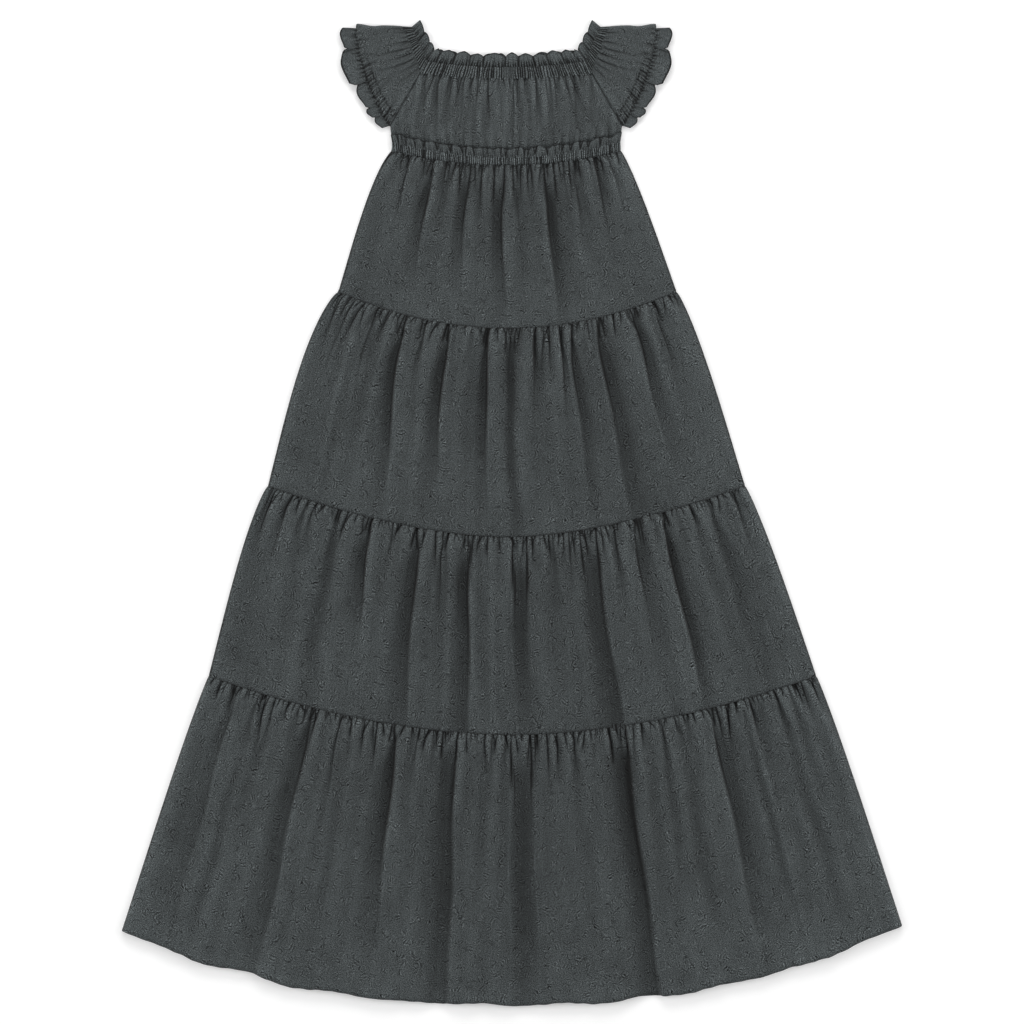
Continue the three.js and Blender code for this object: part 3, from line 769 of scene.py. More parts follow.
def bodice_grid(columns, fine, coarse):
    """The bodice as a panel, which goes from the neck's width to that of the underarms,
    and from there to the waist's."""
    upper, lower = SEAMS["neck_bottom"], SEAMS["waist_top"]
    length = upper.y - lower.y
    down = rows_from_seam(length, fine, coarse, -1.5)
    u, down = np.meshgrid(np.linspace(0, 1, columns), down)
    v = down / length
    inside = np.clip(v, 0, 1)
    half = np.where(
        v < UNDERARM,
        mix(upper.half, UNDERARM_HALF, inside / UNDERARM),
        mix(UNDERARM_HALF, lower.half, (inside - UNDERARM) / (1 - UNDERARM)),
    )
    y = mix(on_seam(upper, u)[1], on_seam(lower, u)[1], v)
    return Panel(u, v, down, AXIS + half * (2 * u - 1), y, 2 * half, length)


BODICE_SIDE = 1.6        # underside of the bodice's front at its sides
BODICE_PLATEAU = 2.8     # how high its ridges stand
BODICE_FRONT_GRID = (320, 0.8, 2.2)  # columns, and least and most between rows
BODICE_BACK_GRID = (170, 1.4, 4.0)
NECK_PITCH = 4.4         # of its gathers under the neck, over the waist and on its back
WAIST_PITCH = 5.5
BODICE_BACK_PITCH = 5.5
NECK_KINDS = ((0.45, 4, 9), (0.25, 12, 24), (0.30, 24, 60))
WAIST_KINDS = ((0.6, 16, 23), (0.4, 23, 42))


def bodice_front(sizes, material):
    panel = bodice_grid(*BODICE_FRONT_GRID)
    u, v, down, x, y, width, length = panel
    rng = seeded("bodice_front")
    top, bottom = 2 * SEAMS["neck_bottom"].half, 2 * SEAMS["waist_top"].half
    longs = [f.top for f in BODICE]
    neck = small_gathers(rng, top, longs, NECK_PITCH, (0.6, 1.0), NECK_KINDS, 0.0035)
    waist = small_gathers(rng, bottom, [], WAIST_PITCH, (0.6, 1.0), WAIST_KINDS, -0.003)
    soft = soft_folds(rng, 0.5 * top, 6.5, (0.35, 0.65), 0.26)
    sunk, _, painted_core_shade = pressed(u, v, down, width, BODICE + soft, neck)
    pulled, _, drawn = pressed(u, v, length - down, width, [], waist)
    rib = casing_ribs(sizes, "neck_casing_front", u * 2 * SEAMS["neck_top"].half)
    rib = rib * falloff(np.clip(down, 0, None), 2.6)
    sunk = 1 - (1 - sunk) * (1 - pulled) * (1 - 0.6 * rib)
    at_side = from_side(u, width)
    climb = smooth(0.7, 0.9, v)
    sides = BODICE_SIDE + (WAIST_LEVEL - BODICE_SIDE) * climb
    under = mix(mix(NECK_LEVEL, WAIST_LEVEL, climb), sides, 1 - smooth(0, 12, at_side))
    across = x - AXIS
    plateau = BODICE_PLATEAU * seam_profile(down, length, 0.75, 0.4, False)
    plateau = plateau * (1 + 0.15 * undulation(rng, across, down, 10, 160))
    plateau *= mix(0.15, 1.0, smooth(WAIST_FRILL - 2, WAIST_FRILL + 4, length - down))
    plateau *= rounded_side(at_side, 5.0)
    ripple = 0.05 * undulation(rng, across, down, 4.0, 60) + 0.2 * undulation(rng, across, down, 15, 120)
    z = under + plateau * (1 - sunk) + ripple * rounded_side(at_side, 6.0) * smooth(0, 6, down)
    z = np.where(down < 0, under - 0.2, np.maximum(z, under)) + cloth_wall(sizes)
    x = bulge_ridges(x, z, 0.35, 0.7)
    # Shade painted in the hollows, with a highlight painted on the ridges, and in the folds, along the
    # gathers' narrow lines, in the neck casing's creases and along the side edges; the whole a little
    # lighter.
    hollow = 0.5 * cavity(x, z, 2.4, 0.9) + 0.3 * cavity(x, z, 1.0, 0.35)
    painted_shade = 0.36 * sunk - 0.03 + 0.45 * (painted_core_shade + drawn) + hollow + 1.2 * rib + 0.4 * edge_shade(u, width)
    # A shadow painted on the bodice along the heading's free edge.
    painted_heading_shadow = falloff(length - down - WAIST_FRILL - 0.4, 0.6)
    painted_shade += 0.5 * painted_heading_shadow * np.clip(0.4 + 0.6 * undulation(rng, across, 0 * u, 9, 1e3), 0, 1.2)
    flat, rests_on = CUTS["bodice"], ["bodice_back"]
    points, cut = (x, y, z), flat_cut(panel, flat)
    cloth_piece(sizes, "bodice_front", material, points, cut, painted_shade)


def bodice_back(sizes, material):
    panel = bodice_grid(*BODICE_BACK_GRID)
    u, v, down, x, y, width, _ = panel
    rng = seeded("bodice_back")
    sway = 2 * undulation(rng, u * width, down, 30, 200)
    flutes = 0.5 + 0.5 * np.cos(2 * math.pi * u * width / BODICE_BACK_PITCH + sway)
    lift = 0.9 * flutes * falloff(np.clip(down, 0, None), 8, 1)
    lift = lift + 0.5 * np.clip(undulation(rng, u * width, down, 22, 150), 0, None)
    lift *= rounded_side(from_side(u, width), 6.0)
    climb = 1.2 * smooth(0.76, 0.86, v)
    under = FLOOR_GAP + lift + climb + np.where(down < 0, 0.6, 0)
    points, flat = (x, y, under), CUTS["bodice"]
    cut = flat_cut(panel, flat, BACK_CUT)
    cloth_piece(sizes, "bodice_back", material, points, cut, 0.5 * lift, True)


# ---- Casings ----
# upper, lower: its seams; spacing: how close its creases are, against the size that the
# user sets; contrast: how much shade is painted in them; height: of its ridges at the
# front; is_open: the edge that stays high because the cloth goes straight on from it;
# plain: a stretch of it, from and to in millimetres from the middle, that lies smooth.

Casing = namedtuple("Casing", "upper lower spacing contrast height is_open plain")
CASINGS = {
    "neck_casing": Casing("neck_top", "neck_bottom", 0.74, 7.5, 1.9, "foot", (-2.5, 8.5)),
    "waist_casing": Casing("waist_top", "waist_bottom", 0.60, 11.0, 2.0, "top", None),
}
CASING_LEVEL = 2.2       # underside of a casing's front
RIB_DEPTH = 0.62         # how far a crease cuts into a casing's height
BAND_ROUND = 0.22        # share of a casing's height over which an edge rounds off


def ribs(rng, along, pitch, thin=0.17, thick=0.27):
    """Narrow creases across a gathered band, uneven in spacing and depth: 0 to 1."""
    total = np.zeros_like(along)
    at = along.min() - pitch * rng.uniform(0, 1)
    while at < along.max():
        half = pitch * rng.uniform(thin, thick)
        total = np.maximum(total, rng.uniform(0.55, 1.0) * falloff(along - at, half, 1.8))
        at += pitch * rng.uniform(0.75, 1.3)
    return total


def casing_ribs(sizes, name, along):
    """The creases of one casing, at places along its upper seam."""
    fine = np.linspace(-3, 260, 2600)
    kind = name.rsplit("_", 1)[0]
    pitch = sizes.rib_pitch / MM * CASINGS[kind].spacing
    return np.interp(along, fine, ribs(seeded("ribs", len(name)), fine, pitch))


def casing_strip(sizes, kind, back, material):
    """A band of cloth drawn up on elastic between two seams."""
    casing, flat = CASINGS[kind], CUTS[kind]
    name = f"{kind}_back" if back else f"{kind}_front"
    upper, lower = SEAMS[casing.upper], SEAMS[casing.lower]
    step, rows = (0.7, 9) if back else (0.38, 17)
    count = int(2 * upper.half / step)
    u, t = np.meshgrid(np.linspace(0, 1, count), np.linspace(-0.06, 1.06, rows))
    x0, y0 = on_seam(upper, u)
    x1, y1 = on_seam(lower, u)
    x, y = mix(x0, x1, t), mix(y0, y1, t)
    along = u * 2 * upper.half
    rng = seeded("ribs")
    rib = casing_ribs(sizes, name, along + 0.35 * undulation(rng, along, t * 8, 18, 16))
    drawn = np.ones_like(rib)
    if casing.plain and not back:
        start, end = casing.plain
        place = x - upper.x
        drawn = 1 - smooth(start - 1, start + 1, place) * (1 - smooth(end - 1, end + 1, place))
        rib = rib * mix(0.2, 1.0, drawn)
    inside = np.clip(t, 0, 1)
    to_edge = np.minimum(inside, 1 - inside)
    if not back:
        to_edge = 1 - inside if casing.is_open == "top" else inside
    band = rounded_side(to_edge, BAND_ROUND)
    swell = 1 + 0.08 * undulation(rng, along, t * 8, 9, 30)
    if back:
        z = FLOOR_GAP + 0.25 * rib * band
    else:
        z = CASING_LEVEL + cloth_wall(sizes) + casing.height * band * (1 - RIB_DEPTH * rib) * swell
        x = bulge_ridges(x, z, 0.2, 0.4)
    cut = (u * flat[0], t * flat[1])
    # Shade painted in the creases and along the rounded edges; where the band is drawn up it is painted a
    # little lighter.
    painted_shade = casing.contrast * (rib - 0.12 * drawn) + 0.3 * (1 - band)
    cloth_piece(sizes, name, material, (x, y, z), cut, painted_shade, back)


# ---- Frills ----
# level: underside of its front; wave: how high its lobes stand; scallop: how far its edge
# dips between lobes; lift: how much higher its edge lies than its root; pleats: how far
# the creases at its root reach, 0 to 1; crease, rim: how much shade is painted in those
# and along its edge; notch: half the width of the shade painted between two lobes.

Frill = namedtuple("Frill", "level wave scallop lift pleats crease rim notch")
FRILLS = {
    "neck_frill": Frill(NECK_LEVEL, 2.8, 4.8, 0.0, 0.5, 4.0, 1.8, 0.6),
    "waist_frill": Frill(HEADING_LEVEL, 1.2, 1.0, 1.7, 0.7, 2.0, 1.2, 0.45),
}


def lobes(u, bounds):
    """Which lobe of a frill each place is in, and how far along that lobe it is."""
    bounds = np.asarray(bounds)
    which = np.clip(np.searchsorted(bounds, u, side="right") - 1, 0, len(bounds) - 2)
    return which, np.clip((u - bounds[which]) / (bounds[which + 1] - bounds[which]), 0, 1)


def uneven_bounds(rng, length, pitch, spread=0.35):
    """Seeded ends of lobes along a frill, 0 to 1."""
    count = max(2, int(round(length / pitch)))
    steps = rng.uniform(1 - spread, 1 + spread, count)
    return np.concatenate([[0], np.cumsum(steps) / steps.sum()])


def dome(f, power=0.5):
    return np.clip(4 * f * (1 - f), 0, 1) ** power


ROOT_PITCH = 2.5         # of the creases at a frill's root
SIDE_ROOT_PITCH = 3.2
CUFF_ROOT_PITCH = 3.6
NECK_LOBE = 13.2         # mean length of a lobe of the neck's back frill, and of the heading
HEADING_LOBE = 7.5


def root_pleats(rng, along, t, pitch, share):
    """Short creases that run from a frill's root towards its edge: 0 to 1."""
    fine = np.linspace(along.min() - 2, along.max() + 2, 6 * along.shape[1])
    total = 0
    for part, reach, strength in ((1.0, share, 1.0), (2.1, 1.8 * share, 0.65)):
        crease = np.interp(along, fine, ribs(rng, fine, pitch * part, 0.19 / part, 0.30 / part))
        total = np.maximum(total, strength * crease * np.clip(1 - t / reach, 0, 1) ** 0.7)
    return total


# Ends of the lobes along the neck's front frill, in millimetres from the middle.
NECK_LOBES = (-67.6, -60.5, -46.5, -32.5, -20.5, -0.6, 11.5, 24.5, 37.0, 50.5, 61.5, 67.6)


def frill_strip(sizes, kind, back, root, free, bounds, seed, material):
    """A frill from the line of its root to that of its free edge, in lobes that end at
    the places in bounds."""
    frill, flat = FRILLS[kind], CUTS[kind]
    node = f"{kind}_back" if back else f"{kind}_front"
    rng = seeded(seed)
    x0, y0 = on_seam(root, np.linspace(0, 1, 400))
    length = float(np.sum(np.hypot(np.diff(x0), np.diff(y0))))
    step, rows = (0.8, 12) if back else (0.4, 20)
    u, t = np.meshgrid(np.linspace(0, 1, int(length / step)), np.linspace(1, -0.1, rows))
    x0, y0 = on_seam(root, u)
    x1, y1 = on_seam(free, u)
    along = u * length
    inside = np.clip(t, 0, 1)
    which, f = lobes(u, bounds)
    size = rng.uniform(0.75, 1.15, len(bounds))[which]
    pitch = length / (len(bounds) - 1)
    arch = dome(f) * size
    pleat = root_pleats(rng, along, inside, ROOT_PITCH, frill.pleats)
    ends = rounded_side(from_side(u) * length, 2.5)
    dip = inside * frill.scallop / np.hypot(x1 - x0, y1 - y0) * (1 - dome(f, 0.42) * size)
    reach = t * (1 - dip)
    if frill.lift:
        reach *= 1 + 0.14 * undulation(rng, along, 0 * along, 14, 1e3)
    slide = 0.10 * pitch * np.sin(2 * math.pi * f) * inside * ends * (0.4 if back else 1.0)
    x, y = mix(x0, x1, reach) + slide, mix(y0, y1, reach)
    swing = arch * mix(0.35, 1.0, inside) + 0.35 * (1 - inside) - 0.4 * pleat
    if back:
        z = FLOOR_GAP + 0.4 * swing * ends
    else:
        bead = 0.25 * smooth(0.86, 0.93, t)
        swing = frill.wave * swing * ends * smooth(-0.1, 0.2, t)
        z = frill.level + cloth_wall(sizes) + swing + bead + frill.lift * inside * ends
    # Shade painted between the lobes, of uneven strength along the heading.
    from_end = np.minimum(f, 1 - f) * pitch
    strength = 1.2
    if frill.lift:
        from_end = from_end - 0.9 * inside
        strength = rng.uniform(0.5, 2.2, len(bounds))[which]
    notch = strength * falloff(from_end, frill.notch) * smooth(0.0, 0.4, inside)
    # Shade painted along the edge and in the root's creases, a highlight painted on each lobe's crown, and
    # on the neck frill shade painted along its root.
    rim = frill.rim * smooth(1 - 1.7 / flat[1], 1 - 0.5 / flat[1], t)
    painted_shade = frill.crease * pleat + notch + rim - 0.5 * arch
    if not frill.lift:
        painted_shade += 0.4 * smooth(0.10, 0.0, t)
    cut = (u * flat[0], inside * flat[1])
    cloth_piece(sizes, node, material, (x, y, z), cut, painted_shade, back)


def neck_frill(sizes, material, back):
    """The frill over the neck's casing, between its mitred corners."""
    root = SEAMS["neck_top"]
    half, corner = SLEEVE["frill_mitre"]
    middle = root.y + NECK_FRILL
    free = Seam(root.x, middle, half, corner - middle, 2, 0)
    bounds = 0.5 + 0.5 * np.array(NECK_LOBES) / NECK_LOBES[-1]
    if back:
        bounds = uneven_bounds(seeded("neck_lobes"), 2 * root.half, NECK_LOBE)
    frill_strip(sizes, "neck_frill", back, root, free, bounds, "neck_frill", material)


def waist_heading(sizes, material, back):
    """The heading that stands up from the waist's casing over the bodice."""
    root = SEAMS["waist_top"]
    free = root._replace(y=root.y + WAIST_FRILL, half=root.half + 1.5)
    bounds = uneven_bounds(seeded("heading_lobes"), 2 * root.half, HEADING_LOBE, 0.75)
    frill_strip(sizes, "waist_frill", back, root, free, bounds, "heading", material)


# ---- Sleeves and their trims, folded over at the shoulder ----


def outline(start, end, t):
    """The place t of the way between two of the sleeve outline's points."""
    (x0, y0), (x1, y1) = SLEEVE[start], SLEEVE[end]
    return mix(x0, x1, t), mix(y0, y1, t)


def sleeve_hem(b):
    """The cuff's seam, from the shoulder's fold to the underarm."""
    x, y = outline("hem_fold", "underarm", b)
    return x + HEM_BULGE * np.clip(4 * b * (1 - b), 0, None) ** 0.8, y


def folded_grid(plan, a_values, steps, outside=SHOULDER):
    """Points of a piece folded over at the shoulder, rows along a and columns from the
    front's seam over the fold to the back's. plan gives x and y at a and b, with b 0 at
    the fold and 1 at either seam. Gives x, y and z of the flat form, a, b, how much each
    point belongs to the front, its distance along the path and its share of that."""
    b_front = np.linspace(1, 0, steps)
    bend = np.linspace(0.5, -0.5, 9)[1:-1] * math.pi
    rows = []
    for a in a_values:
        start, end = np.array(plan(a, 0.0)), np.array(plan(a, 1.0))
        inset = outside / np.linalg.norm(end - start)
        centre = np.array(plan(a, inset))
        out = (start - centre) / np.linalg.norm(start - centre)
        fx, fy = plan(a, mix(inset, 1, b_front))
        bx, by = plan(a, mix(inset, 1, b_front[::-1]))
        one = np.ones(steps)
        x = np.concatenate([fx * one, centre[0] + out[0] * outside * np.cos(bend), bx * one])
        y = np.concatenate([fy * one, centre[1] + out[1] * outside * np.cos(bend), by * one])
        z = np.concatenate([2 * outside * one, outside * (1 + np.sin(bend)), 0 * one])
        rows.append(np.stack([x, y, z], -1))
    grid = np.array(rows)
    front = np.concatenate([np.ones(steps), (1 + np.sin(bend)) / 2, np.zeros(steps)])
    b = np.concatenate([b_front, 0 * bend, b_front[::-1]])
    step = np.linalg.norm(np.diff(grid, axis=1), axis=2)
    along = np.concatenate([np.zeros((len(grid), 1)), np.cumsum(step, axis=1)], axis=1)
    a, b, front = (np.broadcast_to(values, along.shape) for values in (a_values[:, None], b, front))
    return *np.moveaxis(grid, -1, 0), a, b, front, along, along / along[:, -1:]


SIDES = {1: "left", -1: "right"}


def folded_piece(sizes, kind, side, points, cut, fold, material):
    """Fits a folded piece to one side of the dress."""
    name = f"{kind}_{SIDES[side]}"
    x, y, z = points
    points = (AXIS + side * x, y, z + FLOOR_GAP)
    cloth_piece(sizes, name, material, points, cut, fold, flip=side < 0)


# Lengths of the paths round a folded piece, at which its small creases are spaced.
SIDE_TRIM = 86.0
CUFF = 205.0
SLEEVE_NECK = 100.0
SLEEVE_CUFF = 200.0
TRIM_FULLNESS = 1.4      # how much longer the trims' flat cuts are
SLEEVE_LENGTHS = (46.0, 30.0)  # from the neck's seam to the cuff, at shoulder and underarm
SLEEVE_NECK_PITCH = 3.4  # of the sleeve's gathers at the neck and at the cuff
SLEEVE_CUFF_PITCH = 5.0
SLEEVE_PUFF = 2.6        # how high the sleeve's ridges stand
SHIRRING = 5.2           # from the cuff's seam to the row of stitches beside it


# Long wrinkles of the sleeve's front: place down the neck seam where it starts, place
# down the cuff that it runs towards, length and depth.
SLEEVE_WRINKLES = (
    (0.16, 0.06, 12, 0.7), (0.34, 0.24, 16, 0.75), (0.47, 0.29, 40, 0.6), (0.58, 0.37, 22, 0.75),
    (0.70, 0.42, 30, 0.7), (0.80, 0.50, 14, 0.6), (0.90, 0.62, 18, 0.45),
)


def sleeve(sizes, side, material):
    def plan(a, b):
        x0, y0 = outline("casing_fold", "casing_corner", b)
        x1, y1 = sleeve_hem(b)
        dip = 1.6 * falloff(a - 0.66, 0.2) * np.clip(1 - 2 * b, 0, 1) ** 2
        return mix(x0, x1, a), mix(y0, y1, a) - dip

    rng = seeded("sleeve", side)
    x, y, z, a, b, front, along, u = folded_grid(plan, np.linspace(-0.03, 1.02, 76), 130)
    span = mix(*SLEEVE_LENGTHS, b)
    down = np.clip(a, 0, 1) * span
    to_cuff = span - down
    width = mix(SLEEVE_NECK, SLEEVE_CUFF, a)
    kinds = ((0.6, 3, 7), (0.3, 7, 13), (0.1, 13, 24))
    from_neck = small_gathers(rng, SLEEVE_NECK, [], SLEEVE_NECK_PITCH, (0.4, 0.85), kinds)
    for start, end, run, depth in SLEEVE_WRINKLES:
        start, end = 0.5 * (1 - start), 0.5 * (1 - mix(start, end, run / 40))
        from_neck.append(Crease(start, end, run, 0.9, 1.6, depth))
    sunk, _, painted_core_shade = pressed(u, a, down, width, [], from_neck)
    kinds = ((0.75, 3, 7), (0.25, 8, 15))
    from_cuff = small_gathers(rng, SLEEVE_CUFF, [], SLEEVE_CUFF_PITCH, (0.5, 1.0), kinds)
    pulled = pressed(u, a, to_cuff, width, [], from_cuff)[0]
    sunk = 1 - (1 - sunk) * (1 - pulled)
    at_seam = rounded_side((1 - b) * 90, 5.0)
    at_ends = mix(0.3, 1.0, rounded_side(np.minimum(down, to_cuff), 2.6))
    low_half = smooth(0.25, 0.5, b)
    shirr = falloff(to_cuff, 0.7) + low_half * falloff(to_cuff - SHIRRING, 0.7)
    fine = np.linspace(0, 1, 6 * along.shape[1])
    rib = np.interp(u, fine, ribs(rng, fine * SLEEVE_CUFF, 3.0))
    rib = rib * falloff(to_cuff, 5.5, 4) * mix(0.3, 1, low_half)
    swell = 1.2 * np.sin(math.pi * b) ** 0.7 * np.sin(math.pi * np.clip(a, 0, 1)) ** 0.5
    puff = SLEEVE_PUFF * at_ends * (1 - sunk) * (1 - 0.45 * shirr) * (1 - 0.35 * rib)
    ripple = 0.16 * undulation(rng, along, down, 7, 30) + 0.22 * undulation(rng, along, down, 18, 26)
    over = (swell + puff + ripple) * at_seam - 0.8 * (1 - at_seam)
    z += front * over
    z += (1 - front) * 0.5 * (1 - sunk) * at_seam * smooth(0, 0.2, b)
    # Shade painted in the front's hollows, with a highlight painted on its ridges, and in its gathers,
    # along their narrow lines, along the shirring and in the cuff's creases; the whole a little lighter.
    hollow = cavity(along, z, 2.0, 1.1) * np.sign(front)
    painted_shade = 0.35 * sunk + 0.35 * painted_core_shade + 0.7 * hollow + 2.8 * shirr * (0.1 + 0.9 * rib) + 1.2 * rib - 0.03
    flat = CUTS["sleeve"]
    cut = (u * flat[0], down * 1.2)
    folded_piece(sizes, "sleeve", side, (x, y, z), cut, painted_shade, material)


def side_casing(sizes, side, material):
    """The neck casing's end over the sleeve, folded at the shoulder."""

    def plan(a, b):
        x0, y0 = outline("neck_fold", "neck_corner", b)
        x1, y1 = outline("casing_fold", "casing_corner", b)
        return mix(x0, x1, a), mix(y0, y1, a)

    rng = seeded("side_casing", side)
    x, y, z, a, b, front, along, u = folded_grid(plan, np.linspace(-0.04, 1.04, 17), 110, 2.2)
    fine = np.linspace(0, 1, 4 * along.shape[1])
    pitch = CASINGS["neck_casing"].spacing * sizes.rib_pitch / MM
    rib = np.interp(u, fine, ribs(rng, fine * SIDE_TRIM, pitch))
    band = rounded_side(np.clip(from_side(a), 0, 1), BAND_ROUND)
    z += front * (1.4 * band * (1 - RIB_DEPTH * rib) - 1.0) * smooth(0, 0.15, b)
    cut = (along * TRIM_FULLNESS, a * 10)
    # Shade painted in the creases and along the rounded edges, and lighter between the creases.
    painted_shade = 6.5 * rib - 0.85 + 0.2 * (1 - band)
    folded_piece(sizes, "neck_casing", side, (x, y, z), cut, painted_shade, material)


SIDE_LOBES = (-0.35, 0.38, 0.72, 1.04)


def side_frill(sizes, side, material):
    """The neck frill's end over the sleeve, folded at the shoulder."""

    def plan(a, b):
        x0, y0 = outline("neck_fold", "neck_corner", b)
        x1, y1 = outline("frill_tip", "frill_mitre", b)
        reach = a * (1 - 0.22 * max(a, 0) * (1 - dome(lobes(b, SIDE_LOBES)[1], 0.42)))
        return mix(x0, x1, reach), mix(y0, y1, reach)

    rng = seeded("side_frill", side)
    x, y, z, a, b, front, along, u = folded_grid(plan, np.linspace(1.0, -0.1, 18), 100, 1.8)
    a = np.clip(a, 0, 1)
    f = lobes(b, SIDE_LOBES)[1]
    arch = dome(f)
    pleat = root_pleats(rng, u * SIDE_TRIM, a, SIDE_ROOT_PITCH, 0.75)
    ends = rounded_side((1 - b) * 36, 2.5)
    swing = arch * mix(0.35, 1.0, a) * (1 - 0.45 * pleat)
    z += front * (2.2 * swing * ends - 1.2 + 0.25 * smooth(0.86, 0.93, a)) * smooth(0, 0.2, b)
    cut = (along * TRIM_FULLNESS, a * 10)
    # Shade painted between the lobes, in the root's creases and along the edge, and a highlight painted on
    # each lobe's crown.
    notch = falloff(from_side(f, 12), 0.6) * smooth(0.0, 0.4, a)
    painted_shade = 2.6 * pleat + 1.2 * notch + 1.3 * smooth(0.86, 0.96, a) - 0.45 * arch
    folded_piece(sizes, "neck_frill", side, (x, y, z), cut, painted_shade, material)


# The cuff frill's lobes: where each ends down the cuff, 0 to 1, and how deep it is at
# its upper end, in its middle and at its lower end.
CUFF_LOBES = (
    (0.218, 11.0, 16.4, 13.8), (0.556, 14.5, 20.2, 17.6), (0.800, 9.2, 14.2, 11.6),
    (0.893, 10.6, 13.4, 11.0), (1.010, 7.6, 10.8, 8.6),
)
CUFF_BOUNDS = (0.030, *(lobe[0] for lobe in CUFF_LOBES))
CUFF_DEPTHS = tuple(lobe[2] for lobe in CUFF_LOBES)
CUFF_INSET = 0.045       # place down the cuff where its frill's fold is
CUFF_FAN = 0.42          # how far it fans out there, in radians


def cuff_depth(b):
    """How deep the cuff's frill is at places down the cuff, in steps from lobe to lobe."""
    which, f = lobes(b, CUFF_BOUNDS)
    upper, middle, lower = np.array(CUFF_LOBES)[which][..., 1:].T
    rise = mix(upper, middle, np.sin(0.5 * math.pi * np.clip(f / 0.4, 0, 1)))
    fall = mix(middle, lower, smooth(0.4, 0.95, f)) * (1 - 0.25 * smooth(0.9, 1.0, f))
    return np.where(f < 0.4, rise, fall)


def cuff_frill(sizes, side, material):
    away = np.subtract(SLEEVE["hem_fold"], SLEEVE["underarm"])
    out = np.array([away[1], -away[0]]) / np.linalg.norm(away)
    down_cuff = -away / np.linalg.norm(away)

    def plan(a, b):
        b = mix(CUFF_INSET, 1, b)
        x0, y0 = sleeve_hem(b)
        reach = a * cuff_depth(b)
        turn = CUFF_FAN * (1 - smooth(0.0, 0.3, b))
        ox = out[0] * np.cos(turn) - out[1] * np.sin(turn)
        oy = out[0] * np.sin(turn) + out[1] * np.cos(turn)
        return x0 + reach * ox, y0 + reach * oy

    rng = seeded("cuff_frill", side)
    x, y, z, a, b, front, along, u = folded_grid(plan, np.linspace(-0.08, 1.0, 30), 230)
    a = np.clip(a, 0, 1)
    which, f = lobes(mix(CUFF_INSET, 1, b), CUFF_BOUNDS)
    size = np.array(CUFF_DEPTHS)[which] / CUFF_DEPTHS[1]
    share = u * CUFF
    pleat = root_pleats(rng, share, a, CUFF_ROOT_PITCH, 0.30)
    fine = np.linspace(0, CUFF, 900)
    soft = np.interp(share, fine, ribs(rng, fine, 7.5, 0.2, 0.4))
    arch = dome(f, 0.6) * 0.7 + 0.5 * f**2
    ends = rounded_side((1 - b) * 90, 3.0)
    swing = size * arch * mix(0.25, 1.0, a) * 2.9 * (1 - 0.35 * soft * (1 - 0.6 * a))
    swing += 0.9 * (1 - pleat) * (1 - a)
    bead = 0.3 * smooth(0.9, 0.95, a)
    z += front * (swing * ends - 1.0 + bead) * smooth(0, 0.05, b)
    slide = 1.6 * size * (f**3 - 0.35 * (1 - f) ** 2) * a**1.2 * ends * front
    points = (x + slide * down_cuff[0], y + slide * down_cuff[1], z)
    flat = CUTS["cuff_frill"]
    cut = (along * TRIM_FULLNESS, a * flat[1])
    # Shade painted between the lobes, in the root's creases, in the soft folds, along the edge and along
    # the root, and a highlight painted on each lobe's crown.
    notch = falloff(f * size * 30, 1.6) * smooth(0.1, 0.5, a)
    rim = 1.8 * smooth(0.89, 0.96, a)
    painted_shade = 2.8 * pleat + 0.2 * soft + 1.1 * notch + rim + 0.4 * smooth(0.08, 0.0, a) - 0.3 * arch
    folded_piece(sizes, "sleeve_frill", side, points, cut, painted_shade, material)


# ---- Stitches ----


HEM_STITCH = 2.6         # pitch of the hem's stitches
STITCH_LENGTH = 1.9
STITCH_RADIUS = 0.16
STITCH_RINGS = 5
STITCH_SIDES = 6


def stitches(name, path, material):
    """Short threads laid end to end along a path of points, as one mesh."""
    step = np.linalg.norm(np.diff(path, axis=0), axis=1)
    run = np.concatenate([[0], np.cumsum(step)])
    turn = 2 * math.pi * np.arange(STITCH_SIDES) / STITCH_SIDES
    t = np.linspace(0, 1, STITCH_RINGS)
    thick = STITCH_RADIUS * np.sqrt(np.clip(1 - (1.9 * (t - 0.5)) ** 2, 0.05, 1))
    points, faces = [], []
    for begin in np.arange(HEM_STITCH / 2, run[-1] - HEM_STITCH, HEM_STITCH):
        places = begin + t * STITCH_LENGTH
        centre = np.stack([np.interp(places, run, path[:, k]) for k in range(3)], -1)
        ahead = centre[-1] - centre[0]
        ahead /= np.linalg.norm(ahead)
        across = np.cross([0, 0, 1], ahead)
        up = np.cross(ahead, across)
        centre[:, 2] += STITCH_RADIUS * (np.sin(math.pi * t) - 0.4)
        ring = np.cos(turn)[:, None] * across + np.sin(turn)[:, None] * up
        first = len(points) * STITCH_RINGS * STITCH_SIDES
        points.append((centre[:, None] + thick[:, None, None] * ring).reshape(-1, 3))
        corner = first + np.arange(STITCH_RINGS * STITCH_SIDES).reshape(STITCH_RINGS, STITCH_SIDES)
        beside = np.roll(corner, -1, axis=1)
        walls = np.stack([corner[:-1], beside[:-1], beside[1:], corner[1:]], -1)
        faces += [*walls.reshape(-1, 4).tolist(), corner[0, ::-1].tolist(), corner[-1].tolist()]
    mesh = bpy.data.meshes.new(name)
    mesh.from_pydata((np.concatenate(points) * MM).tolist(), [], faces)
    mesh.polygons.foreach_set("use_smooth", np.ones(len(faces), bool))
    mesh.materials.append(material)
    piece = new_object(name, mesh)
    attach(piece, "root")


# ---- Materials ----


def add_node(tree, kind, inputs=None, **settings):
    """Adds a node. An input is a value, or the output that feeds it."""
    made = tree.nodes.new(kind)
    for key, value in settings.items():
        setattr(made, key, value)
    for key, value in (inputs or {}).items():
        if isinstance(value, bpy.types.NodeSocket):
            tree.links.new(value, made.inputs[key])
        else:
            made.inputs[key].default_value = value
    return made


def maths(tree, operation, *values):
    return add_node(tree, "ShaderNodeMath", dict(enumerate(values)), operation=operation).outputs[0]


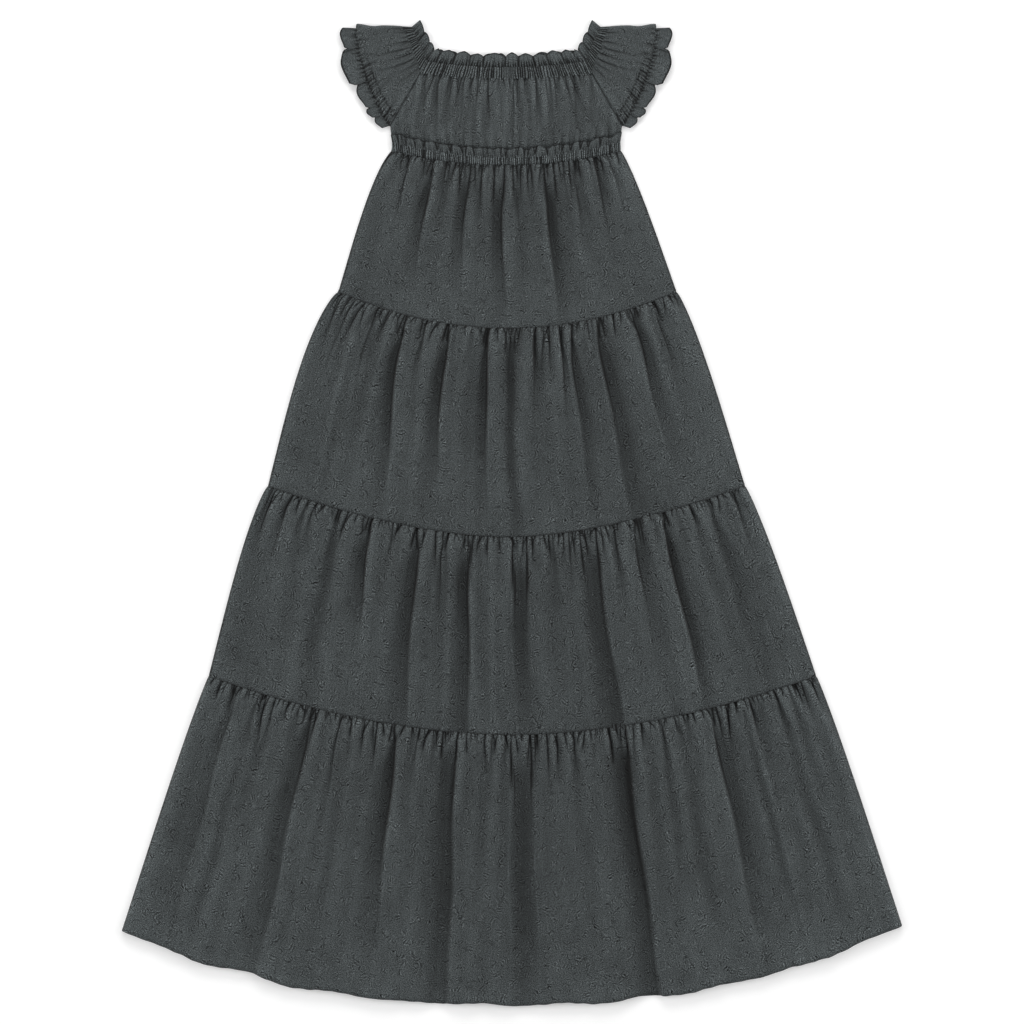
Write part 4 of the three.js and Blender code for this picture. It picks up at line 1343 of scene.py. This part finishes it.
def product(tree, *values):
    return reduce(lambda a, b: maths(tree, "MULTIPLY", a, b), values)


def scaled(tree, value, factor, offset):
    """value * factor + offset"""
    return maths(tree, "MULTIPLY_ADD", value, factor, offset)


def vectors(tree, operation, *values):
    inputs = dict(enumerate(values))
    made = add_node(tree, "ShaderNodeVectorMath", inputs, operation=operation)
    return made.outputs["Value" if operation == "LENGTH" else "Vector"]


def ramp(tree, value, start, end, low_end=0.0, high_end=1.0):
    """A smooth step from low_end to high_end as value goes from start to end."""
    inputs = {"Value": value, "From Min": start, "From Max": end, "To Min": low_end, "To Max": high_end}
    return add_node(tree, "ShaderNodeMapRange", inputs, interpolation_type="SMOOTHSTEP").outputs["Result"]


def line_of_thread(tree, off, start, end, strength=1.0):
    """A line where off is near 0: strength up to start on both sides, none past end."""
    return ramp(tree, maths(tree, "ABSOLUTE", off), start, end, strength, 0)


def noise(tree, where, across, down, detail=2.0):
    """Soft noise with features of about that many millimetres across and down."""
    stretched = vectors(tree, "MULTIPLY", where, (1 / across, 1 / down, 1))
    inputs = {"Vector": stretched, "Scale": 1.0, "Detail": detail}
    return add_node(tree, "ShaderNodeTexNoise", inputs, noise_dimensions="2D").outputs[0]


def cells(tree, where, spacing, shift, least):
    """Points scattered about that far apart: the way from the nearest one, its own three
    random numbers, and 1 for those whose first number is over least."""
    moved = vectors(tree, "ADD", where, (shift, 2 * shift, 0))
    inputs = {"Vector": moved, "Scale": 1 / spacing, "Randomness": 0.85}
    made = add_node(tree, "ShaderNodeTexVoronoi", inputs, voronoi_dimensions="2D")
    chance = add_node(tree, "ShaderNodeSeparateColor", {0: made.outputs["Color"]}).outputs
    away = vectors(tree, "SUBTRACT", moved, made.outputs["Position"])
    return away, chance, maths(tree, "GREATER_THAN", chance[0], least)


def turned_cells(tree, where, spacing, shift, least):
    """As cells, and with the way from each point turned to an angle of its own: as a
    vector, and as its parts."""
    away, chance, picked = cells(tree, where, spacing, shift, least)
    inputs = {"Vector": away, "Angle": maths(tree, "MULTIPLY", chance[1], 2 * math.pi)}
    turned = add_node(tree, "ShaderNodeVectorRotate", inputs, rotation_type="Z_AXIS").outputs[0]
    part = add_node(tree, "ShaderNodeSeparateXYZ", {0: turned}).outputs
    return away, chance, picked, turned, part


WHERE = ("Cut", "NodeSocketVector", None)


def build_group(label, inputs, output, value_of):
    """A node group with named sockets. Each input is a name, a type and a default, and
    value_of makes the group's nodes and gives what it puts out."""
    group = bpy.data.node_groups.new(label, "ShaderNodeTree")
    for name, kind, default in (WHERE, *inputs):
        socket = group.interface.new_socket(name, in_out="INPUT", socket_type=kind)
        if default is not None:
            socket.default_value = default
    group.interface.new_socket(output, in_out="OUTPUT", socket_type="NodeSocketFloat")
    given = group.nodes.new("NodeGroupInput").outputs
    made = group.nodes.new("NodeGroupOutput")
    group.links.new(value_of(group, given["Cut"], *list(given)[1:-1]), made.inputs[output])
    return group


def creases_across(group, cut, spacing, length):
    """Fine creases spaced across the cloth, as a height from about -1 to 1."""
    size = add_node(group, "ShaderNodeCombineXYZ", {0: spacing, 1: length, 2: 1.0})
    where = vectors(group, "DIVIDE", cut, size.outputs[0])
    wide = noise(group, where, 1.0, 1.0, 2.0)
    both = scaled(group, noise(group, where, 0.33, 0.3, 1.0), 0.45, wide)
    return scaled(group, both, 2.6, -1.9)


# The embroidery's marks: spacing, size and where each kind's pattern starts, all in
# millimetres. Seen together they are flowers and leaves among short curls and dashes.
FLOWERS = (19.0, 3.4, 300)
LEAVES = (25.0, 16.0, 700)
CURLS = ((19.0, 2.2, 1500), (26.0, 3.4, 1900))
DASHES = ((15.0, 1.8, 2300), (21.0, 3.0, 2700), (17.0, 1.3, 3100))
DOTS = (10.0, 1100)
VINE_LEVELS = (0.44, 0.57)
HATCH_PITCH = 1.9
STITCH_PITCH = 2.6
HAND_WAVER = 3.0         # how unevenly they are worked


def flower(group, where, spacing, radius, shift):
    """A small flower: an outline of five petals round a dot, in some of the cells."""
    away, _, picked = cells(group, where, spacing, shift, 0.3)
    part = add_node(group, "ShaderNodeSeparateXYZ", {0: away}).outputs
    far = vectors(group, "LENGTH", away)
    turn = product(group, maths(group, "ARCTAN2", part[1], part[0]), 2.5)
    petal = maths(group, "ABSOLUTE", maths(group, "COSINE", turn))
    edge = scaled(group, petal, 0.32 * radius, 0.68 * radius)
    outline = line_of_thread(group, maths(group, "SUBTRACT", far, edge), 0.3, 0.9)
    # A hollow inside the outline, where a shadow is painted.
    inner = maths(group, "SUBTRACT", far, product(group, edge, 0.6))
    hollow = line_of_thread(group, inner, 0.3, 0.9, -0.8)
    heart = ramp(group, far, 0.5, 1.0, 0.6, 0)
    mark = maths(group, "ADD", maths(group, "ADD", outline, hollow), heart)
    return product(group, mark, product(group, picked, 0.7))


def leaf(group, where, spacing, length, shift):
    """A feathered leaf at any angle, hatched from its rib, in some of the cells."""
    _, _, picked, turned, part = turned_cells(group, where, spacing, shift, 0.35)
    side = maths(group, "ABSOLUTE", part[1])
    oval = vectors(group, "LENGTH", vectors(group, "MULTIPLY", turned, (2 / length, 5 / length, 0)))
    inside = ramp(group, oval, 0.9, 1.0, 1, 0)
    slant = product(group, maths(group, "ADD", part[0], side), 2 * math.pi / HATCH_PITCH)
    hatched = scaled(group, maths(group, "SINE", slant), 0.8, 0.0)
    rib = ramp(group, side, 0.15, 0.6, 0.8, -1)
    return product(group, inside, maths(group, "MAXIMUM", hatched, rib), picked)


def curl(group, where, spacing, radius, shift):
    """A few short stitches curved about a point, one inside the other, in some of the
    cells."""
    away, chance, picked, _, part = turned_cells(group, where, spacing, shift, 0.3)
    far = vectors(group, "LENGTH", away)
    middle = scaled(group, chance[2], 0.9 * radius, 0.6 * radius)
    off = maths(group, "SUBTRACT", far, middle)
    rows = maths(group, "COSINE", product(group, off, 2 * math.pi / STITCH_PITCH))
    beside = line_of_thread(group, off, 0.5 * STITCH_PITCH, 1.1 * STITCH_PITCH)
    shown = ramp(group, part[0], 0.45 * radius, 0.85 * radius, 0, 1)
    return product(group, rows, beside, shown, picked)


def dashes(group, where, spacing, reach, shift):
    """Two or three short straight stitches side by side, in some of the cells."""
    _, _, picked, _, part = turned_cells(group, where, spacing, shift, 0.3)
    rows = maths(group, "COSINE", product(group, part[1], 2 * math.pi / STITCH_PITCH))
    beside = line_of_thread(group, part[1], 0.9 * STITCH_PITCH, 1.5 * STITCH_PITCH)
    within = line_of_thread(group, part[0], 0.8 * reach, 1.1 * reach)
    return product(group, product(group, rows, beside), product(group, within, picked))


def dots(group, where, spacing, shift):
    """Single raised stitches, each with a hollow on the same side of it where a shadow is
    painted, in some of the cells.
    """
    away, _, picked = cells(group, where, spacing, shift, 0.6)
    beside = vectors(group, "LENGTH", vectors(group, "ADD", away, (0.9, 0.9, 0)))
    raised = ramp(group, vectors(group, "LENGTH", away), 0.5, 1.0, 1, 0)
    dot = maths(group, "ADD", raised, ramp(group, beside, 0.4, 1.0, -0.7, 0))
    return product(group, dot, picked)


def embroidery(group, cut, vine_spacing):
    """Vines, small flowers, leaves and dots in the cloth's own colour: 1 on a raised
    thread, and less than 0 in the hollow beside it. The material takes this as height and
    also paints it into the colour, as a highlight on the threads and a shadow in the hollows."""
    bend = add_node(group, "ShaderNodeTexNoise", {"Vector": cut, "Scale": 0.28, "Detail": 0.0})
    bent = vectors(group, "MULTIPLY_ADD", bend.outputs["Color"], (HAND_WAVER,) * 3, cut)
    where = vectors(group, "MULTIPLY", bent, (1, 1, 0))
    shrunk = vectors(group, "DIVIDE", where, vine_spacing)
    inputs = {"Vector": shrunk, "Scale": 1.0, "Detail": 0.4, "Distortion": 0.6}
    swirl = add_node(group, "ShaderNodeTexNoise", inputs, noise_dimensions="2D").outputs[0]
    total = maths(group, "ADD", flower(group, where, *FLOWERS), leaf(group, where, *LEAVES))
    # Each vine is a raised thread with a shadow painted in a line beside it.
    for level in VINE_LEVELS:
        for step, strength in ((0, 0.5), (0.045, -0.5)):
            off = maths(group, "SUBTRACT", swirl, level + step)
            vine = line_of_thread(group, off, 0.010, 0.030, strength)
            total = maths(group, "ADD", total, vine)
    total = product(group, total, ramp(group, noise(group, where, 10.0, 10.0, 0.0), 0.50, 0.60))
    for kind, places in ((curl, CURLS), (dashes, DASHES), (dots, [DOTS])):
        for place in places:
            total = maths(group, "ADD", total, kind(group, where, *place))
    return total


def weave(group, cut, thread_width):
    """Plain weave with slubs in its threads, as a height from about -1 to 1."""
    turn = maths(group, "DIVIDE", math.pi, thread_width)
    part = add_node(group, "ShaderNodeSeparateXYZ", {0: cut}).outputs
    waves = [maths(group, "SINE", product(group, axis, turn)) for axis in (part[0], part[1])]
    grain = scaled(group, noise(group, cut, 0.8, 0.9, 0.5), 3.6, -1.8)
    return scaled(group, product(group, *waves), 0.06, grain)


def mottle(group, cut, strength):
    """Uneven dye and wear, as a factor about 1."""
    small, large = noise(group, cut, 13.0, 24.0, 2.0), noise(group, cut, 60.0, 90.0, 1.0)
    both = maths(group, "SUBTRACT", maths(group, "ADD", small, large), 1.0)
    return scaled(group, both, strength, 1.0)


FLOAT = "NodeSocketFloat"
CRINKLE_INPUTS = [("Crease Spacing", FLOAT, 2.8), ("Crease Length", FLOAT, 11.0)]
GROUPS = {
    "Crinkled Cotton": (CRINKLE_INPUTS, "Height", creases_across),
    "Self Embroidery": ([("Vine Spacing", FLOAT, 9.5)], "Raised", embroidery),
    "Plain Weave": ([("Thread", FLOAT, 0.5)], "Height", weave),
    "Mottled Dye": ([("Strength", FLOAT, 0.3)], "Tint", mottle),
}


def place_group(tree, label, where, values=None):
    """Places a shared group, which is built the first time it is asked for."""
    group = bpy.data.node_groups.get(label) or build_group(label, *GROUPS[label])
    made = add_node(tree, "ShaderNodeGroup", node_tree=group)
    tree.links.new(where, made.inputs["Cut"])
    set_inputs(made, values or {})
    return made.outputs[0]


def set_inputs(node, values):
    for name, value in values.items():
        node.inputs[name].default_value = value


def new_material(name):
    """A material with its Principled shader, and its node tree."""
    material = bpy.data.materials.new(name)
    material.use_nodes = True
    return material, material.node_tree, material.node_tree.nodes["Principled BSDF"]


def dye_cloth(tree, shader, colour, tint):
    """Colours a shader with one dye, darker or lighter by the tint."""
    dyed = vectors(tree, "SCALE", tuple(colour))
    tree.links.new(tint, dyed.node.inputs["Scale"])
    tree.links.new(dyed, shader.inputs["Base Color"])


# How much the crinkle, the embroidery and the threads darken or lighten the cloth, and
# how high they stand in millimetres. For the crinkle and the embroidery that is shade
# painted in their hollows and highlight painted on their crests and threads.
CRINKLE_TINT, CRINKLE_HEIGHT = 0.10, 0.16
RAISED_TINT, RAISED_HEIGHT = 0.60, 0.22
THREAD_TINT, THREAD_HEIGHT = 1.0, 0.12
RAISED_GLOSS = 0.14      # how much less rough the raised threads are
COTTON = {"Specular IOR Level": 0.32, "Sheen Weight": 0.10, "Sheen Roughness": 0.45}
COTTON_ROUGH = 0.86
DARKEST = 0.06           # least of the colour that the painted shade leaves in the deepest fold


def cotton(colours, name, pattern, crinkle, spacing=2.8):
    """The dress's cotton: dyed, crinkled and embroidered in its own colour. pattern and
    crinkle are how strong those are, and spacing is that of the crinkle's creases."""
    found = bpy.data.materials.get(name)
    if found:
        return found
    material, tree, shader = new_material(name)
    cut = add_node(tree, "ShaderNodeUVMap", uv_map="Cut").outputs[0]
    where = vectors(tree, "MULTIPLY", cut, (1 / MM, 1 / MM, 1))
    fold = add_node(tree, "ShaderNodeAttribute", attribute_name="fold").outputs["Fac"]
    creases = place_group(tree, "Crinkled Cotton", where, {"Crease Spacing": spacing})
    raised = place_group(tree, "Self Embroidery", where)
    threads = place_group(tree, "Plain Weave", where)
    dye = place_group(tree, "Mottled Dye", where, {"Strength": 0.42})

    # The fold attribute is shade painted into the colour, down to a least value, and a highlight painted
    # where it is less than 0.
    tint = maths(tree, "MAXIMUM", scaled(tree, fold, -colours.fold_shade, 1.0), DARKEST)
    tint = product(tree, tint, dye)
    # The crinkle's and the embroidery's heights paint shade into their hollows and highlight onto their
    # crests and threads; the weave's grain makes the colour vary.
    weights = ((creases, CRINKLE_TINT * crinkle), (raised, RAISED_TINT * pattern), (threads, THREAD_TINT))
    for height, weight in weights:
        tint = product(tree, tint, scaled(tree, height, weight, 1.0))
    dye_cloth(tree, shader, colours.cloth, tint)
    rough = scaled(tree, raised, -RAISED_GLOSS * pattern, COTTON_ROUGH)
    tree.links.new(rough, shader.inputs["Roughness"])
    set_inputs(shader, COTTON)

    height = product(tree, creases, CRINKLE_HEIGHT * crinkle)
    height = scaled(tree, raised, RAISED_HEIGHT * pattern, height)
    height = scaled(tree, threads, THREAD_HEIGHT, height)
    bump = add_node(tree, "ShaderNodeBump", {"Height": height, "Distance": MM, "Strength": 1.0})
    tree.links.new(bump.outputs[0], shader.inputs["Normal"])
    return material


def thread(colours):
    """The hem's sewing thread, with a fine twist."""
    material, tree, shader = new_material("Sewing Thread")
    place = add_node(tree, "ShaderNodeTexCoord").outputs["Object"]
    where = vectors(tree, "MULTIPLY", place, (1 / MM, 1 / MM, 1))
    twist = place_group(tree, "Plain Weave", where, {"Thread": 0.22})
    dye = place_group(tree, "Mottled Dye", where, {"Strength": 0.2})
    dye_cloth(tree, shader, colours.cloth, product(tree, dye, scaled(tree, twist, 0.12, 1.05)))
    set_inputs(shader, {"Roughness": 0.6})
    return material


# ---- What a user may change ----


class DressSizes(bpy.types.PropertyGroup):
    cloth: bpy.props.FloatProperty(
        name="Cloth", description="Thickness of the cotton", default=0.00055, min=0.0003, max=0.001,
        precision=5, unit="LENGTH",
    )
    gather_pitch: bpy.props.FloatProperty(
        name="Gather Spacing", description="Mean space between the small gathers under a tier's seam",
        default=0.0062, min=0.003, max=0.02, precision=4, unit="LENGTH",
    )
    rib_pitch: bpy.props.FloatProperty(
        name="Rib Spacing", description="Mean space between the creases across an elastic casing",
        default=0.0030, min=0.001, max=0.005, precision=4, unit="LENGTH",
    )
    fold_height: bpy.props.FloatProperty(
        name="Fold Height", description="How high the skirt's ridges stand", default=1.0, min=0.3, max=1.5,
        subtype="FACTOR",
    )
    view: bpy.props.FloatProperty(
        name="Camera Height", description="Height of the camera over the floor", default=3.0, min=1.5,
        max=10, unit="LENGTH",
    )


class DressColours(bpy.types.PropertyGroup):
    cloth: bpy.props.FloatVectorProperty(
        name="Cotton", description="Colour of the dyed cotton", default=CLOTH_COLOUR, min=0, max=1,
        subtype="COLOR",
    )
    floor: bpy.props.FloatVectorProperty(
        name="Floor", description="Colour of the floor", default=(0.93, 0.93, 0.93), min=0, max=1,
        subtype="COLOR",
    )
    # The strength of the shade painted into the cotton's colour from the fold attribute.
    fold_shade: bpy.props.FloatProperty(
        name="Fold Shade", description="How much darker the cotton is deep in a fold", default=0.74,
        min=0, max=0.9, subtype="FACTOR",
    )


# ---- Operators ----


def full_cloth(context):
    return cotton(context.scene.dress_colours, "Embroidered Cotton", 1.0, 1.0)


def trim_cloth(context):
    return cotton(context.scene.dress_colours, "Gathered Trim Cotton", 0.45, 0.6, 2.2)


class DRESS_OT_tiers(bpy.types.Operator):
    """Makes the skirt's four tiers, front and back, and the stitches of the hem"""

    bl_idname = "dress.tiers"
    bl_label = "Tiers"

    def execute(self, context):
        sizes, material = context.scene.dress_sizes, full_cloth(context)
        for tier in TIERS:
            tier_back(sizes, tier, material)
            hem_line = tier_front(sizes, tier, material)
        stitches("hem_stitches", hem_line, thread(context.scene.dress_colours))
        return {"FINISHED"}


class DRESS_OT_bodice(bpy.types.Operator):
    """Makes the bodice's front and back"""

    bl_idname = "dress.bodice"
    bl_label = "Bodice"

    def execute(self, context):
        sizes, material = context.scene.dress_sizes, full_cloth(context)
        bodice_back(sizes, material)
        bodice_front(sizes, material)
        return {"FINISHED"}


class DRESS_OT_sleeves(bpy.types.Operator):
    """Makes the two raglan sleeves with their cuff frills"""

    bl_idname = "dress.sleeves"
    bl_label = "Sleeves"

    def execute(self, context):
        sizes = context.scene.dress_sizes
        for side in SIDES:
            sleeve(sizes, side, full_cloth(context))
            cuff_frill(sizes, side, trim_cloth(context))
        return {"FINISHED"}


class DRESS_OT_neckline(bpy.types.Operator):
    """Makes the neck's elastic casing and the frill over it, all the way round"""

    bl_idname = "dress.neckline"
    bl_label = "Neckline"

    def execute(self, context):
        sizes, material = context.scene.dress_sizes, trim_cloth(context)
        for back in (True, False):
            casing_strip(sizes, "neck_casing", back, material)
        for back in (True, False):
            neck_frill(sizes, material, back)
        for side in SIDES:
            side_casing(sizes, side, material)
            side_frill(sizes, side, material)
        return {"FINISHED"}


class DRESS_OT_waist(bpy.types.Operator):
    """Makes the waist's elastic casing and the heading over it"""

    bl_idname = "dress.waist"
    bl_label = "Waist"

    def execute(self, context):
        sizes, material = context.scene.dress_sizes, trim_cloth(context)
        for back in (True, False):
            casing_strip(sizes, "waist_casing", back, material)
        for back in (True, False):
            waist_heading(sizes, material, back)
        return {"FINISHED"}


class DRESS_OT_stage(bpy.types.Operator):
    """Makes the floor, the soft studio light and the camera over the dress"""

    bl_idname = "dress.stage"
    bl_label = "Floor, Light and Camera"

    def execute(self, context):
        scene = context.scene
        make_floor(scene.dress_colours)
        make_light(scene)
        make_camera(scene)
        return {"FINISHED"}


# ---- The stage ----

FLOOR_SIDE = 12.0       # in metres
SENSOR = 36.0           # width of the camera's sensor in millimetres
FLOOR_GLOW = 0.15       # evens out the softboxes' light on the floor
VIEW_WIDTH = 1.0395     # width of the view over the dress's length


def make_floor(colours):
    half = FLOOR_SIDE / 2
    corners = [(-half, -half, 0), (half, -half, 0), (half, half, 0), (-half, half, 0)]
    mesh = bpy.data.meshes.new("floor")
    mesh.from_pydata(corners, [], [(0, 1, 2, 3)])
    floor = new_object("floor", mesh)
    material, _, shader = new_material("Pale Floor")
    set_inputs(shader, {
        "Base Color": (*colours.floor, 1), "Roughness": 0.95, "Specular IOR Level": 0.1,
        "Emission Color": (1, 1, 1, 1), "Emission Strength": FLOOR_GLOW,
    })
    mesh.materials.append(material)


# Softboxes: direction from the dress and height, in degrees, distance, width and length
# in metres, and power in watts. Direction 0 is towards +X and 90 towards the neck.
SOFTBOXES = (
    ("left_softbox", 180, 30, 2.2, 1.0, 2.0, 22),
    ("right_softbox", 0, 30, 2.2, 1.0, 2.0, 22),
    ("neck_softbox", 90, 34, 2.8, 2.2, 1.0, 30),
)
DOME = 0.45             # strength of the white light from all round


def make_light(scene):
    world = bpy.data.worlds.new("Studio")
    scene.world = world
    world.use_nodes = True
    set_inputs(world.node_tree.nodes["Background"], {"Color": (1, 1, 1, 1), "Strength": DOME})
    for name, azimuth, height, distance, width, length, power in SOFTBOXES:
        light = bpy.data.lights.new(name, "AREA")
        light.shape = "RECTANGLE"
        light.size, light.size_y = width, length
        light.energy = power
        box = new_object(name, light)
        a, e = math.radians(azimuth), math.radians(height)
        box.location = (
            distance * math.cos(a) * math.cos(e),
            distance * math.sin(a) * math.cos(e),
            distance * math.sin(e),
        )
        box.rotation_euler = (math.radians(90 - height), 0, a + math.pi / 2)
    scene.view_settings.view_transform = "Standard"


def make_camera(scene):
    data = bpy.data.cameras.new("camera")
    data.sensor_width = SENSOR
    height = scene.dress_sizes.view
    length = CAD_BOX[1].y - CAD_BOX[0].y
    over_cloth = height - (CAD_BOX[1].z - CAD_BOX[0].z) / 2
    data.lens = data.sensor_width * over_cloth / (VIEW_WIDTH * length)
    scene.camera = new_object("camera", data)
    scene.camera.location = (0, 0, height)


# ---- Panel and registration ----

OPERATORS = (
    DRESS_OT_tiers, DRESS_OT_bodice, DRESS_OT_sleeves, DRESS_OT_neckline, DRESS_OT_waist, DRESS_OT_stage,
)


class DRESS_PT_sidebar(bpy.types.Panel):
    """Lists the dress's sizes, colours and pieces"""

    bl_label = "Tiered Midi Dress"
    bl_idname = "DRESS_PT_sidebar"
    bl_space_type = "VIEW_3D"
    bl_region_type = "UI"
    bl_category = "Dress"

    def draw(self, context):
        for group in (context.scene.dress_sizes, context.scene.dress_colours):
            for name in group.__annotations__:
                self.layout.prop(group, name)
        for operator in OPERATORS:
            self.layout.operator(operator.bl_idname)


CLASSES = (DressSizes, DressColours, *OPERATORS, DRESS_PT_sidebar)


def register():
    for made in CLASSES:
        bpy.utils.register_class(made)
    bpy.types.Scene.dress_sizes = bpy.props.PointerProperty(type=DressSizes)
    bpy.types.Scene.dress_colours = bpy.props.PointerProperty(type=DressColours)


def unregister():
    del bpy.types.Scene.dress_colours
    del bpy.types.Scene.dress_sizes
    for made in reversed(CLASSES):
        bpy.utils.unregister_class(made)


def main():
    register()
    for operator in OPERATORS:
        family, name = operator.bl_idname.split(".")
        getattr(getattr(bpy.ops, family), name)()


if __name__ == "__main__":
    main()
